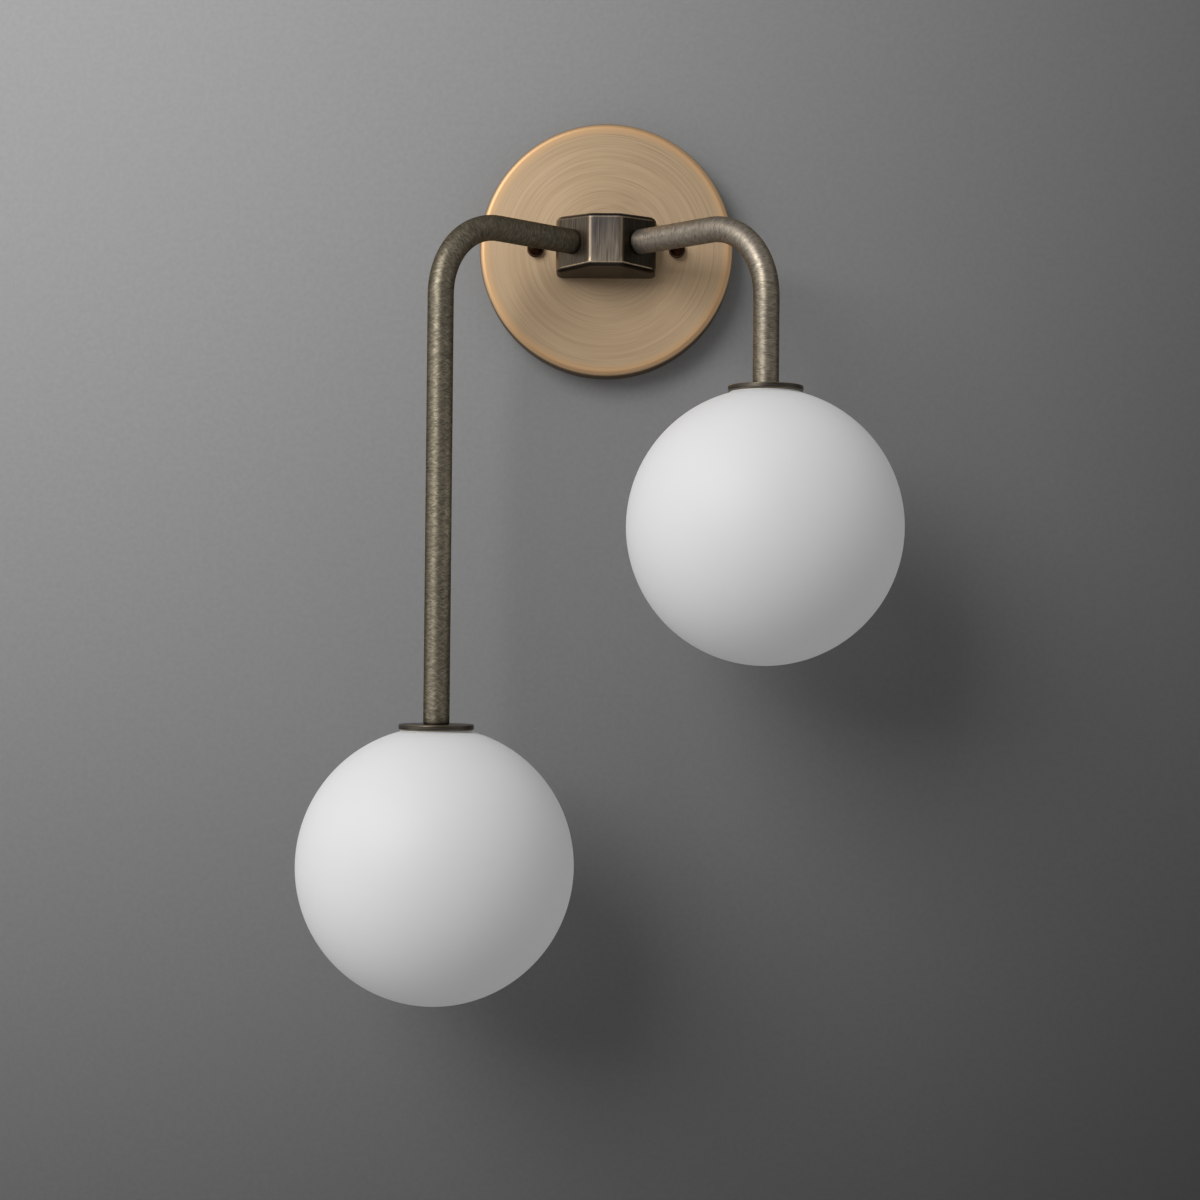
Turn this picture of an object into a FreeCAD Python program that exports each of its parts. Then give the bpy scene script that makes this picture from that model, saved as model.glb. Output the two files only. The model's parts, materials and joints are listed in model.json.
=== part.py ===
import FreeCAD, Part
import math
import os

# Double arm wall sconce: a round wall canopy carries a cast hub, two bent tube arms leave the hub's
# oblique faces, and each arm ends in a flat disc with a screw-on opal globe below it.
# Millimetres.  Origin: centre of the canopy on the wall plane.  +Z up, +X to the viewer's right,
# and -Y straight out of the wall.

# ---------------------------------------------------------------- canopy and its fixings
canopy_diameter = 125.0
canopy_depth = 15.0
canopy_wall = 1.2
canopy_edge_radius = 4.0

stud_spacing = 69.85            # distance between the two canopy studs
stud_radius = 2.08
stud_reach = 5.0                # how far a stud stands out of the canopy's face
stud_hole_clearance = 0.35      # radial play of a stud in the canopy
stud_set_back = 0.05            # of a stud's wall end inside the crossbar
stud_chamfer = 0.5
stud_nut_width = 8.7
stud_nut_height = 3.2

cap_washer_radius = 4.1
cap_washer_thickness = 0.6
cap_nut_radius = 3.75
cap_nut_skirt = 3.6             # length of the cap nut's straight part
cap_nut_crown = 0.9             # metal over the end of its threaded hole
cap_nut_end_gap = 0.2           # between the stud's tip and the end of that hole

# ---------------------------------------------------------------- crossbar behind the canopy
crossbar_width = 20.0
crossbar_thickness = 2.5
crossbar_end_land = 4.0         # metal beyond each box-screw slot
crossbar_centre_hole_radius = 7.0
box_screw_spacing = 88.9
box_slot_length = 9.0
box_slot_radius = 2.3

ground_screw_offset = 22.0      # from the crossbar's centre along +X
ground_screw_radius = 2.08
ground_screw_head_radius = 4.0
ground_screw_head_height = 2.0

# ---------------------------------------------------------------- hub
hub_width = 48.8
hub_depth = 29.4                # out of the canopy's face
hub_end_depth = 12.8            # depth of its two square end walls
hub_front_width = 15.6
hub_back_height = 27.2
hub_front_height = 23.8
hub_end_rounding = 2.4          # along the top and bottom of the end walls
hub_edge_rounding = 0.9
hub_thread_depth = 4.5          # of the centre nipple in the hub's back
hub_chamber_radius = 6.0
hub_chamber_depth = 14.0
arm_thread_depth = 8.0          # of an arm nipple in the hub, and in the arm
wire_passage_radius = 3.6

# ---------------------------------------------------------------- threaded nipples and lock nuts
nipple_radius = 5.0
nipple_bore_radius = 3.5
thread_clearance = 0.05         # radial, between a thread and what it screws into
nipple_end_proud = 0.6          # past its lock nut
lock_nut_width = 14.0
lock_nut_height = 3.0
lock_washer_radius = 8.0
lock_washer_thickness = 0.8

# ---------------------------------------------------------------- arms
arm_angle = 45.0                # between an arm and the wall, seen from above
arm_reach = 74.5                # from the centre line to the arm's vertical stretch, along X
arm_radius = 6.0
arm_bend_radius = 35.0
arm_end_chamfer = 0.5
left_drop = 196.6               # straight vertical stretch of the left arm
right_drop = 40.9

# ---------------------------------------------------------------- discs, cups and globes
disc_radius = 17.2
disc_thickness = 2.6
disc_rounding = 0.5
gasket_thickness = 0.8
gasket_inset = 0.9              # of the gasket's rim inside the disc's
cup_radius = 12.2
cup_wall = 2.0
cup_depth = 12.0
neck_clearance = 0.4            # radial, between the cup's thread and the globe's neck
globe_radius = 63.3
globe_wall = 2.6
globe_lip_radius = 16.6         # outside of the flat lip under the gasket
neck_wall = 2.6
neck_depth = 10.0

# ---------------------------------------------------------------- lampholder and bulb
bracket_thickness = 1.0
bracket_width = 7.0
bracket_leg_drop = 19.0
bracket_gap = 0.8               # radial, between the bracket's plate and the inside of the cup
holder_gap = 3.4                # from the stem nipple's end to the ceramic body
holder_length = 16.4
holder_width = 14.0
holder_height = 18.0
holder_rounding = 3.0
holder_play = 0.1               # between the ceramic body and each bracket leg
holder_screw_radius = 1.5
holder_screw_head_radius = 2.6
holder_screw_head_height = 1.5
holder_screw_length = 4.5
wire_slot_width = 3.2
wire_slot_length = 12.6
wire_slot_depth = 7.0
pin_spacing = 9.0
pin_radius = 0.5
pin_length = 7.0
contact_radius = 1.4
contact_bore_radius = 0.75
contact_inset = 0.4             # from the recess to the contact's lower end
contact_tab = 1.0
contact_fit = 0.1               # radial, between a contact and its hole
bulb_base_length = 13.0
bulb_base_width = 7.5
bulb_base_height = 10.0
bulb_base_rounding = 1.9
bulb_recess_depth = 4.0
bulb_recess_play = 0.35
bulb_radius = 7.5
bulb_length = 32.0
bulb_wall = 0.8
bulb_seat = 1.5                 # depth of the envelope round the foot of its base
core_radius = 3.0
core_length = 20.0

# ---------------------------------------------------------------- wires
wire_radius = 0.9
wire_pair_gap = 0.5             # between the two wires of one arm
wire_clear_of_bar = 0.2
wire_turn_radius = 9.0          # where an arm's wires turn towards the wall in the hub
wire_back_radius = 5.4          # where they turn along the wall behind the canopy's face
connector_start = 19.0          # height of a connector's mouth above or below the centre
connector_length = 16.0
connector_mouth_radius = 4.0
connector_tip_radius = 3.0
connector_bore_radius = 2.8
connector_bore_depth = 6.0
connector_tip_rounding = 1.0
connector_wall_gap = 0.6        # between a connector's mouth and the wall plane
terminal_barrel_radius = 1.6
terminal_barrel_length = 5.2
terminal_tongue_width = 3.6
terminal_plate = 0.8
terminal_rim = 2.4              # width of a ring terminal's ring
terminal_tongue_gap = 0.7       # between the nut or screw head and the barrel
terminal_grip = 1.3             # length of the tongue inside the barrel
barrel_clearance = 0.2          # between a barrel and the sheet or the bar beside it
ground_wire_grip = 3.0          # length of the ground wire held in each barrel
ground_loop_reach = 27.0        # of the loop beyond the hub's terminal
ground_wire_bow = 1.35          # of the loop's end away from the crossbar's terminal
ground_first_bend = 0.45        # first bend, as a share of the loop's reach
ground_sink = 0.3               # share of the way to the crossbar covered at the loop's end
bend_share = 0.45               # of the shorter run beside a bend that its arc takes

# ---------------------------------------------------------------- worked out from the above
X = FreeCAD.Vector(1, 0, 0)
Y = FreeCAD.Vector(0, 1, 0)
Z = FreeCAD.Vector(0, 0, 1)
ORIGIN = FreeCAD.Vector(0, 0, 0)

canopy_radius = canopy_diameter / 2
canopy_face = -canopy_depth                      # y of the canopy's front
canopy_inside = canopy_face + canopy_wall        # y of the back of its front sheet
thread_radius = nipple_radius + thread_clearance
neck_radius = cup_radius + neck_clearance
facet_centre_x = (hub_width + hub_front_width) / 4
facet_centre_out = (hub_depth + hub_end_depth) / 2
arm_sine = math.sin(math.radians(arm_angle))
arm_cosine = math.cos(math.radians(arm_angle))
arm_y = canopy_face - facet_centre_out - (arm_reach - facet_centre_x) * arm_sine / arm_cosine
contact_length = holder_height - wire_slot_depth - bulb_recess_depth - contact_inset
crossbar_length = box_screw_spacing + box_slot_length + 2 * crossbar_end_land
cap_nut_depth = stud_reach - cap_washer_thickness + cap_nut_end_gap
sides = {"left": (-1, left_drop), "right": (1, right_drop)}
ground_direction = FreeCAD.Vector(1, 0, -1).normalize()

# stack of pieces on the centre nipple, from the canopy's sheet towards the wall
washer_y = canopy_inside
terminal_y = washer_y + lock_washer_thickness
lock_nut_y = terminal_y + terminal_plate
nipple_end_y = lock_nut_y + lock_nut_height + nipple_end_proud
wire_spread = wire_radius + wire_pair_gap / 2    # of one wire from the pair's middle
wire_plane_y = -crossbar_thickness - wire_clear_of_bar - wire_radius
connector_y = -connector_mouth_radius - connector_wall_gap


def write(name, shape):
    """Check one node's solids and write them to its own file."""
    if not shape.isValid():
        shape = shape.removeSplitter()
    if not shape.isValid() or not shape.Solids:
        raise ValueError(name + " is not a valid solid")
    shape.exportStep("parts/" + name + ".step")
    print("%-26s %2d solid(s) %10.1f mm3" % (name, len(shape.Solids), shape.Volume))


def group(shapes):
    return Part.makeCompound(shapes)


def rod(radius, length, base, direction):
    return Part.makeCylinder(radius, length, base, direction)


def ring(outer, inner, length, base, direction):
    """Straight tube or flat ring, from base along direction."""
    return rod(outer, length, base, direction).cut(rod(inner, length, base, direction))


def across(direction):
    """A unit vector square to direction: sideways for upright things, else straight up."""
    return X if abs(direction.z) > 0.5 else Z


def prism(points, direction):
    """Solid between the polygon through points and the same polygon moved by direction."""
    return Part.Face(Part.makePolygon(points + points[:1])).extrude(direction)


def hex_nut(width, height, bore, base, direction, corner_way=None):
    """Hexagonal nut with a plain bore; one of its corners points along corner_way."""
    u = corner_way or across(direction)
    v = direction.cross(u)
    corner = width / 2 / math.cos(math.pi / 6)
    turns = [math.radians(60 * k) for k in range(6)]
    points = [base + u * corner * math.cos(a) + v * corner * math.sin(a) for a in turns]
    return prism(points, direction * height).cut(rod(bore, height, base, direction))


def block(centre, u, v, length, width, height, rounding=0.0):
    """Upright block hanging from centre: length along u, width along v, height downwards."""
    signs = ((-1, -1), (1, -1), (1, 1), (-1, 1))
    points = [centre + u * (a * length / 2) + v * (b * width / 2) for a, b in signs]
    solid = prism(points, Z * -height)
    if rounding:
        upright = [e for e in solid.Edges if abs(e.tangentAt(e.FirstParameter).z) > 0.99]
        solid = solid.makeFillet(rounding, upright)
    return solid


def revolve(points, centre, axis, out, arcs=None):
    """Turn a closed outline about axis.  points are (distance from axis, distance along it);
    arcs gives, for the index of a point, the middle point of the arc that leaves it."""
    arcs = arcs or {}

    def place(pair):
        return centre + out * pair[0] + axis * pair[1]

    edges = []
    for index, point in enumerate(points):
        following = points[(index + 1) % len(points)]
        if index in arcs:
            edges.append(Part.Arc(place(point), place(arcs[index]), place(following)).toShape())
        else:
            edges.append(Part.makeLine(place(point), place(following)))
    return Part.Face(Part.Wire(edges)).revolve(centre, axis, 360)


def corner_path(points, radii):
    """Straight runs through points, joined at the inner points by tangent arcs of radii."""
    edges = []
    start = points[0]
    for index in range(1, len(points) - 1):
        corner = points[index]
        before = (points[index - 1] - corner).normalize()
        after = (points[index + 1] - corner).normalize()
        half = before.getAngle(after) / 2
        reach = radii[index - 1] / math.tan(half)
        middle = (before + after).normalize()
        depth = radii[index - 1] / math.sin(half) - radii[index - 1]
        first = corner + before * reach
        last = corner + after * reach
        edges.append(Part.makeLine(start, first))
        edges.append(Part.Arc(first, corner + middle * depth, last).toShape())
        start = last
    edges.append(Part.makeLine(start, points[-1]))
    return Part.Wire(edges)


def swept(path, radius):
    """Round solid along a path of straight runs and tangent arcs."""
    first = path.Edges[0]
    start = first.valueAt(first.FirstParameter)
    tangent = first.tangentAt(first.FirstParameter)
    profile = Part.Wire(Part.makeCircle(radius, start, tangent))
    solid = path.makePipeShell([profile], True, False)
    expected = math.pi * radius ** 2 * path.Length
    if abs(solid.Volume - expected) > 0.01 * expected:
        raise ValueError("swept solid has the wrong volume")
    return solid


def arm_along(side):
    """Plan direction of an arm, from the hub outwards."""
    return FreeCAD.Vector(side * arm_cosine, -arm_sine, 0)


def arm_across(side):
    """Level direction square to an arm."""
    return Z.cross(arm_along(side))


def facet_centre(side):
    return FreeCAD.Vector(side * facet_centre_x, canopy_face - facet_centre_out, 0)


def arm_points(side, drop):
    """Facet, corner of the bend and lower end of an arm's centre line."""
    corner = FreeCAD.Vector(side * arm_reach, arm_y, 0)
    return [facet_centre(side), corner, corner - Z * (arm_bend_radius + drop)]


def disc_top(side, drop):
    return arm_points(side, drop)[-1]


# ---------------------------------------------------------------- pieces on the wall
def make_canopy():
    """Drawn pan with a rolled front edge, open to the wall."""
    r, e, w = canopy_radius, canopy_edge_radius, canopy_wall
    diagonal = math.sqrt(0.5)
    inner = e - w
    outline = [(thread_radius, canopy_depth), (r - e, canopy_depth), (r, canopy_depth - e), (r, 0),
               (r - w, 0), (r - w, canopy_depth - e), (r - e, canopy_depth - w),
               (thread_radius, canopy_depth - w)]
    rolls = {1: (r - e + e * diagonal, canopy_depth - e + e * diagonal),
             5: (r - e + inner * diagonal, canopy_depth - e + inner * diagonal)}
    pan = revolve(outline, ORIGIN, -Y, X, rolls)
    hole = stud_radius + stud_hole_clearance
    for x in stud_places():
        pan = pan.cut(rod(hole, canopy_depth, x, -Y))
    return pan


def stud_places():
    return [X * (-stud_spacing / 2), X * (stud_spacing / 2)]


def make_crossbar():
    """Flat steel bar with rounded corners, two slots for the box screws and tapped stud holes."""
    bar = Part.makeBox(crossbar_length, crossbar_thickness, crossbar_width,
                       FreeCAD.Vector(-crossbar_length / 2, -crossbar_thickness, -crossbar_width / 2))
    corners = [e for e in bar.Edges if abs(e.tangentAt(e.FirstParameter).y) > 0.99]
    bar = bar.makeFillet(crossbar_end_land, corners)
    cuts = [rod(crossbar_centre_hole_radius, crossbar_thickness, ORIGIN, -Y),
            rod(ground_screw_radius + thread_clearance, crossbar_thickness,
                X * ground_screw_offset, -Y)]
    cuts += [rod(stud_radius + thread_clearance, crossbar_thickness, x, -Y) for x in stud_places()]
    half_slot = box_slot_length / 2 - box_slot_radius
    for side in (-1, 1):
        middle = X * (side * box_screw_spacing / 2)
        ends = [middle - X * half_slot, middle + X * half_slot]
        cuts += [rod(box_slot_radius, crossbar_thickness, end, -Y) for end in ends]
        cuts.append(Part.makeBox(2 * half_slot, crossbar_thickness, 2 * box_slot_radius,
                                 ends[0] - Y * crossbar_thickness - Z * box_slot_radius))
    for cut in cuts:
        bar = bar.cut(cut)
    return bar


def make_studs():
    length = canopy_depth + stud_reach - stud_set_back
    studs = []
    for place in stud_places():
        stud = rod(stud_radius, length, place - Y * stud_set_back, -Y)
        tip = [e for e in stud.Edges if abs(e.CenterOfMass.y + stud_set_back + length) < 0.01]
        studs.append(stud.makeChamfer(stud_chamfer, tip))
    return group(studs)


def make_stud_nuts():
    bore = stud_radius + thread_clearance
    return group([hex_nut(stud_nut_width, stud_nut_height, bore, place - Y * crossbar_thickness, -Y)
                  for place in stud_places()])


def make_cap_washer(side):
    seat = X * (side * stud_spacing / 2) + Y * canopy_face
    inner = stud_radius + stud_hole_clearance
    return ring(cap_washer_radius, inner, cap_washer_thickness, seat, -Y)


def make_cap_nut(side):
    """Round cap nut: a straight skirt, a domed end and a blind threaded hole."""
    seat = X * (side * stud_spacing / 2) + Y * (canopy_face - cap_washer_thickness)
    bore = stud_radius + thread_clearance
    top = cap_nut_depth + cap_nut_crown
    rise = top - cap_nut_skirt
    dome = (cap_nut_radius ** 2 + rise ** 2) / (2 * rise)
    middle_r = cap_nut_radius / 2
    middle = top - dome + math.sqrt(dome ** 2 - middle_r ** 2)
    outline = [(bore, 0), (cap_nut_radius, 0), (cap_nut_radius, cap_nut_skirt), (0, top),
               (0, cap_nut_depth), (bore, cap_nut_depth)]
    return revolve(outline, seat, -Y, X, {2: (middle_r, middle)})


def make_ground_screw():
    seat = X * ground_screw_offset - Y * (crossbar_thickness + terminal_plate)
    head = hex_nut(ground_screw_head_radius * 2 * math.cos(math.pi / 6), ground_screw_head_height,
                   ground_screw_radius, seat, -Y)
    length = crossbar_thickness + terminal_plate + ground_screw_head_height
    shank = rod(ground_screw_radius, length - thread_clearance,
                seat - Y * ground_screw_head_height, Y)
    return head.fuse(shank).removeSplitter()


def ring_terminal(centre, bore, direction, barrel_start, lift):
    """Ring, tongue and crimp barrel; centre is on the side of the ring nearer the wall."""
    side_way = direction.cross(Y)
    flat = ring(bore + terminal_rim, bore, terminal_plate, centre, -Y)
    start = centre + direction * (bore + terminal_rim / 2)
    half = side_way * (terminal_tongue_width / 2)
    end = centre + direction * (barrel_start + terminal_grip)
    tongue = prism([start - half, end - half, end + half, start + half], -Y * terminal_plate)
    axis = centre + direction * barrel_start + Y * lift
    barrel = rod(terminal_barrel_radius, terminal_barrel_length, axis, direction)
    bore_cut = rod(wire_radius + thread_clearance, terminal_barrel_length, axis, direction)
    ring_hole = rod(bore, terminal_plate, centre, -Y)
    return flat.fuse(tongue).fuse(barrel).cut(bore_cut).cut(ring_hole).removeSplitter()


def ground_terminals():
    """Each terminal's ring centre, bore, barrel start and barrel height towards the wall."""
    hub_seat = Y * lock_nut_y
    nut_corner = lock_nut_width / 2 / math.cos(math.pi / 6)
    screw_seat = X * ground_screw_offset - Y * crossbar_thickness
    hub_lift = terminal_barrel_radius + barrel_clearance - terminal_plate - lock_washer_thickness
    bar_lift = -terminal_barrel_radius - barrel_clearance
    return [(hub_seat, thread_radius, nut_corner + terminal_tongue_gap, hub_lift),
            (screw_seat, ground_screw_radius + thread_clearance,
             ground_screw_head_radius + terminal_tongue_gap, bar_lift)]


def make_ground_terminals():
    return group([ring_terminal(centre, bore, ground_direction, start, lift)
                  for centre, bore, start, lift in ground_terminals()])


def make_ground_wire():
    """From the terminal under the hub's lock nut, in one loop, to the terminal on the crossbar."""
    along = ground_direction
    sideways = FreeCAD.Vector(1, 0, 1).normalize()
    ends = [centre + along * (start + terminal_barrel_length - ground_wire_grip) + Y * lift
            for centre, bore, start, lift in ground_terminals()]
    first, last = ends
    bow = sideways * ground_wire_bow
    near = along * ground_loop_reach
    back = along * (ground_loop_reach - (last - first).dot(along))
    sink = Y * (last.y - first.y) * ground_sink
    points = [first, first + near * ground_first_bend, first + near - bow + sink, last + back, last]
    radii = []
    for before, corner, after in zip(points, points[1:], points[2:]):
        turn = (corner - before).getAngle(after - corner)
        shorter = min((corner - before).Length, (after - corner).Length)
        radii.append(bend_share * shorter / math.tan(turn / 2))
    print("ground wire radii", [round(value, 1) for value in radii])
    return swept(corner_path(points, radii), wire_radius)


# ---------------------------------------------------------------- hub and nipples
def make_hub():
    """Cast block: square ends, two oblique facets and a narrow front, drafted above and below."""
    half_width, half_front = hub_width / 2, hub_front_width / 2
    plan = [(-half_width, 0), (-half_width, hub_end_depth), (-half_front, hub_depth),
            (half_front, hub_depth), (half_width, hub_end_depth), (half_width, 0)]
    base_z = -hub_back_height
    body = prism([FreeCAD.Vector(x, canopy_face - out, base_z) for x, out in plan],
                 Z * (2 * hub_back_height))
    profile = [(0, hub_back_height / 2), (hub_depth, hub_front_height / 2),
               (hub_depth, -hub_front_height / 2), (0, -hub_back_height / 2)]
    draft = prism([FreeCAD.Vector(-hub_width, canopy_face - out, z) for out, z in profile],
                  X * (2 * hub_width))
    body = body.common(draft)
    ends = [e for e in body.Edges if abs(abs(e.CenterOfMass.x) - half_width) < 0.01
            and abs(e.CenterOfMass.z) > hub_front_height / 3
            and e.BoundBox.YLength > hub_end_depth / 2]
    body = body.makeFillet(hub_end_rounding, ends)
    rest = [e for e in body.Edges if e.BoundBox.YMin < canopy_face - 0.01
            and abs(e.BoundBox.YMax - canopy_face) > 0.01]
    body = body.makeFillet(hub_edge_rounding, rest)
    cuts = [rod(thread_radius, hub_thread_depth, Y * canopy_face, -Y),
            rod(hub_chamber_radius, hub_chamber_depth - hub_thread_depth,
                Y * (canopy_face - hub_thread_depth), -Y)]
    for side in (-1, 1):
        along = arm_along(side)
        facet = facet_centre(side)
        inwards = facet_centre_x / arm_cosine
        cuts.append(rod(wire_passage_radius, inwards, facet, along * -1))
        cuts.append(rod(thread_radius, arm_thread_depth, facet, along * -1))
    for cut in cuts:
        body = body.cut(cut)
    return body


def make_hub_nipple():
    start = canopy_face - hub_thread_depth
    return ring(nipple_radius, nipple_bore_radius, nipple_end_y - start, Y * start, Y)


def make_hub_washer():
    return ring(lock_washer_radius, thread_radius, lock_washer_thickness, Y * washer_y, Y)


def make_hub_nut():
    return hex_nut(lock_nut_width, lock_nut_height, thread_radius, Y * lock_nut_y, Y)


def make_arm_nipples():
    """One hollow nipple per arm, half in the hub and half in the arm."""
    nipples = []
    for side in (-1, 1):
        along = arm_along(side)
        start = facet_centre(side) - along * arm_thread_depth
        nipples.append(ring(nipple_radius, nipple_bore_radius, 2 * arm_thread_depth, start, along))
    return group(nipples)


# ---------------------------------------------------------------- arms and globe fittings
def make_arm(side, drop):
    """Bent tube, from the hub's facet to the disc, with lightly chamfered ends."""
    path = corner_path(arm_points(side, drop), [arm_bend_radius])
    outside = swept(path, arm_radius)
    tips = [facet_centre(side), disc_top(side, drop)]
    ends = [e for e in outside.Edges if abs(e.Length - 2 * math.pi * arm_radius) < 0.01
            and min((e.CenterOfMass - tip).Length for tip in tips) < 0.1]
    outside = outside.makeChamfer(arm_end_chamfer, ends)
    return outside.cut(swept(path, thread_radius))


def make_disc(side, drop):
    top = disc_top(side, drop)
    disc = rod(disc_radius, disc_thickness, top, -Z)
    rims = [e for e in disc.Edges if abs(e.Length - 2 * math.pi * disc_radius) < 0.01]
    disc = disc.makeFillet(disc_rounding, rims)
    return disc.cut(rod(thread_radius, disc_thickness, top, -Z))


def make_gasket(side, drop):
    seat = disc_top(side, drop) - Z * disc_thickness
    return ring(disc_radius - gasket_inset, neck_radius, gasket_thickness, seat, -Z)


def make_cup(side, drop):
    """Threaded cup under the disc, which the globe screws onto."""
    top = disc_top(side, drop) - Z * disc_thickness
    cup = rod(cup_radius, cup_depth, top, -Z)
    cup = cup.cut(rod(cup_radius - cup_wall, cup_depth - cup_wall, top - Z * cup_wall, -Z))
    return cup.cut(rod(thread_radius, cup_wall, top, -Z))


def stack_under_disc(side, drop):
    """Heights of the pieces on the stem nipple, from the cup's plate downwards."""
    bracket = disc_top(side, drop) - Z * (disc_thickness + cup_wall)
    nut = bracket - Z * bracket_thickness
    nipple_end = nut - Z * (lock_nut_height + nipple_end_proud)
    holder = nipple_end - Z * holder_gap
    return bracket, nut, nipple_end, holder


def make_stem_nipple(side, drop):
    nipple_end = stack_under_disc(side, drop)[2]
    length = disc_top(side, drop).z + arm_thread_depth - nipple_end.z
    return ring(nipple_radius, nipple_bore_radius, length, nipple_end, Z)


def make_stem_nuts():
    """Lock nuts on the stem nipples, turned so that their flats pass the bracket's legs."""
    return group([hex_nut(lock_nut_width, lock_nut_height, thread_radius,
                          stack_under_disc(side, drop)[1], -Z, arm_along(side))
                  for side, drop in sides.values()])


def bracket_leg_offset():
    return holder_width / 2 + holder_play


def make_bracket(side, drop):
    """Steel stirrup: a round bored plate under the cup's plate and two legs for the ceramic body."""
    along, square = arm_along(side), arm_across(side)
    top = stack_under_disc(side, drop)[0]
    stirrup = rod(cup_radius - cup_wall - bracket_gap, bracket_thickness, top, -Z)
    eye = FreeCAD.Vector(top.x, top.y, holder_screw_height(side, drop))
    for way in (-1, 1):
        middle = top + square * (way * (bracket_leg_offset() + bracket_thickness / 2))
        leg = block(middle, square, along, bracket_thickness, bracket_width, bracket_leg_drop)
        leg = leg.cut(rod(holder_screw_radius + thread_clearance, holder_width, eye, square * way))
        stirrup = stirrup.fuse(leg)
    return stirrup.cut(rod(thread_radius, bracket_thickness, top, -Z)).removeSplitter()


def holder_screw_height(side, drop):
    bracket = stack_under_disc(side, drop)[0]
    return bracket.z - bracket_leg_drop + bracket_width / 2


def make_holder_screws():
    """Two short screws per lampholder, through the bracket's legs into the ceramic body."""
    screws = []
    for side, drop in sides.values():
        square = arm_across(side)
        axis = disc_top(side, drop)
        for way in (-1, 1):
            seat = FreeCAD.Vector(axis.x, axis.y, holder_screw_height(side, drop))
            seat = seat + square * (way * (bracket_leg_offset() + bracket_thickness))
            head = rod(holder_screw_head_radius, holder_screw_head_height, seat, square * way)
            shank = rod(holder_screw_radius, holder_screw_length, seat, square * -way)
            screws.append(head.fuse(shank).removeSplitter())
    return group(screws)


def holder_bottom(side, drop):
    return stack_under_disc(side, drop)[3] - Z * holder_height


def contact_top(side, drop):
    """Underside of the wire slot, where each contact's tab lies."""
    return stack_under_disc(side, drop)[3] - Z * wire_slot_depth


def make_lampholder(side, drop):
    """Ceramic body with a wire slot above, two contact holes and two tapped screw holes."""
    along, square = arm_along(side), arm_across(side)
    top = stack_under_disc(side, drop)[3]
    height = holder_height - bulb_recess_depth
    body = block(top, along, square, holder_length, holder_width, height, holder_rounding)
    slot = block(top, along, square, wire_slot_length, wire_slot_width, wire_slot_depth)
    body = body.cut(slot)
    foot = top - Z * height
    eye = FreeCAD.Vector(top.x, top.y, holder_screw_height(side, drop))
    for way in (-1, 1):
        axis = foot + along * (way * pin_spacing / 2)
        body = body.cut(rod(contact_radius + contact_fit, height - wire_slot_depth, axis, Z))
        mouth = eye + square * (way * (bracket_leg_offset() + bracket_thickness))
        body = body.cut(rod(holder_screw_radius + thread_clearance,
                            holder_screw_length + thread_clearance, mouth, square * -way))
    return body


def make_collar(side, drop):
    """Ceramic ring under the lampholder's body, whose recess takes the bulb's base."""
    along, square = arm_along(side), arm_across(side)
    top = holder_bottom(side, drop) + Z * bulb_recess_depth
    collar = block(top, along, square, holder_length, holder_width, bulb_recess_depth,
                   holder_rounding)
    recess = block(top, along, square, bulb_base_length + 2 * bulb_recess_play,
                   bulb_base_width + 2 * bulb_recess_play, bulb_recess_depth)
    return collar.cut(recess)


def make_contacts(side, drop):
    """Two sleeve contacts, each with a tab that reaches under its wire."""
    along, square = arm_along(side), arm_across(side)
    top = contact_top(side, drop)
    contacts = []
    for way in (-1, 1):
        out = along * way
        axis = top + out * (pin_spacing / 2)
        sleeve = ring(contact_radius, contact_bore_radius, contact_length, axis, -Z)
        inner, outer = wire_pair_gap, pin_spacing / 2 + contact_radius
        tab = block(top + Z * contact_tab + out * ((inner + outer) / 2), along, square,
                    outer - inner, 2 * contact_radius, contact_tab)
        contacts.append(sleeve.fuse(tab).removeSplitter())
    return group(contacts)


def make_globe(side, drop):
    """Opal glass ball with a flat lip and a straight inner neck that carries the thread."""
    lip = disc_top(side, drop) - Z * (disc_thickness + gasket_thickness)
    centre = globe_centre(side, drop)
    inside = globe_radius - globe_wall
    neck_outer = neck_radius + neck_wall
    lip_height = lip.z - centre.z
    neck_foot = math.sqrt(inside ** 2 - neck_outer ** 2)
    outline = [(0, -globe_radius), (globe_lip_radius, lip_height), (neck_radius, lip_height),
               (neck_radius, lip_height - neck_depth), (neck_outer, lip_height - neck_depth),
               (neck_outer, neck_foot), (0, -inside)]
    return revolve(outline, centre, Z, X, {0: (globe_radius, 0), 5: (inside, 0)})


def globe_centre(side, drop):
    lip = disc_top(side, drop) - Z * (disc_thickness + gasket_thickness)
    return lip - Z * math.sqrt(globe_radius ** 2 - globe_lip_radius ** 2)


# ---------------------------------------------------------------- bulbs
def base_top(side, drop):
    """Top of the bulb's base, pushed up into the lampholder's recess."""
    return holder_bottom(side, drop) + Z * (bulb_recess_depth - bulb_recess_play)


def envelope_top(side, drop):
    return base_top(side, drop) - Z * (bulb_base_height - bulb_seat)


def make_bulb_base(side, drop):
    along, square = arm_along(side), arm_across(side)
    return block(base_top(side, drop), along, square, bulb_base_length, bulb_base_width,
                 bulb_base_height, bulb_base_rounding)


def make_bulb_pins(side, drop):
    along, square = arm_along(side), arm_across(side)
    foot = base_top(side, drop)
    return group([rod(pin_radius, pin_length, foot + along * (way * pin_spacing / 2), Z)
                  for way in (-1, 1)])


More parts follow.
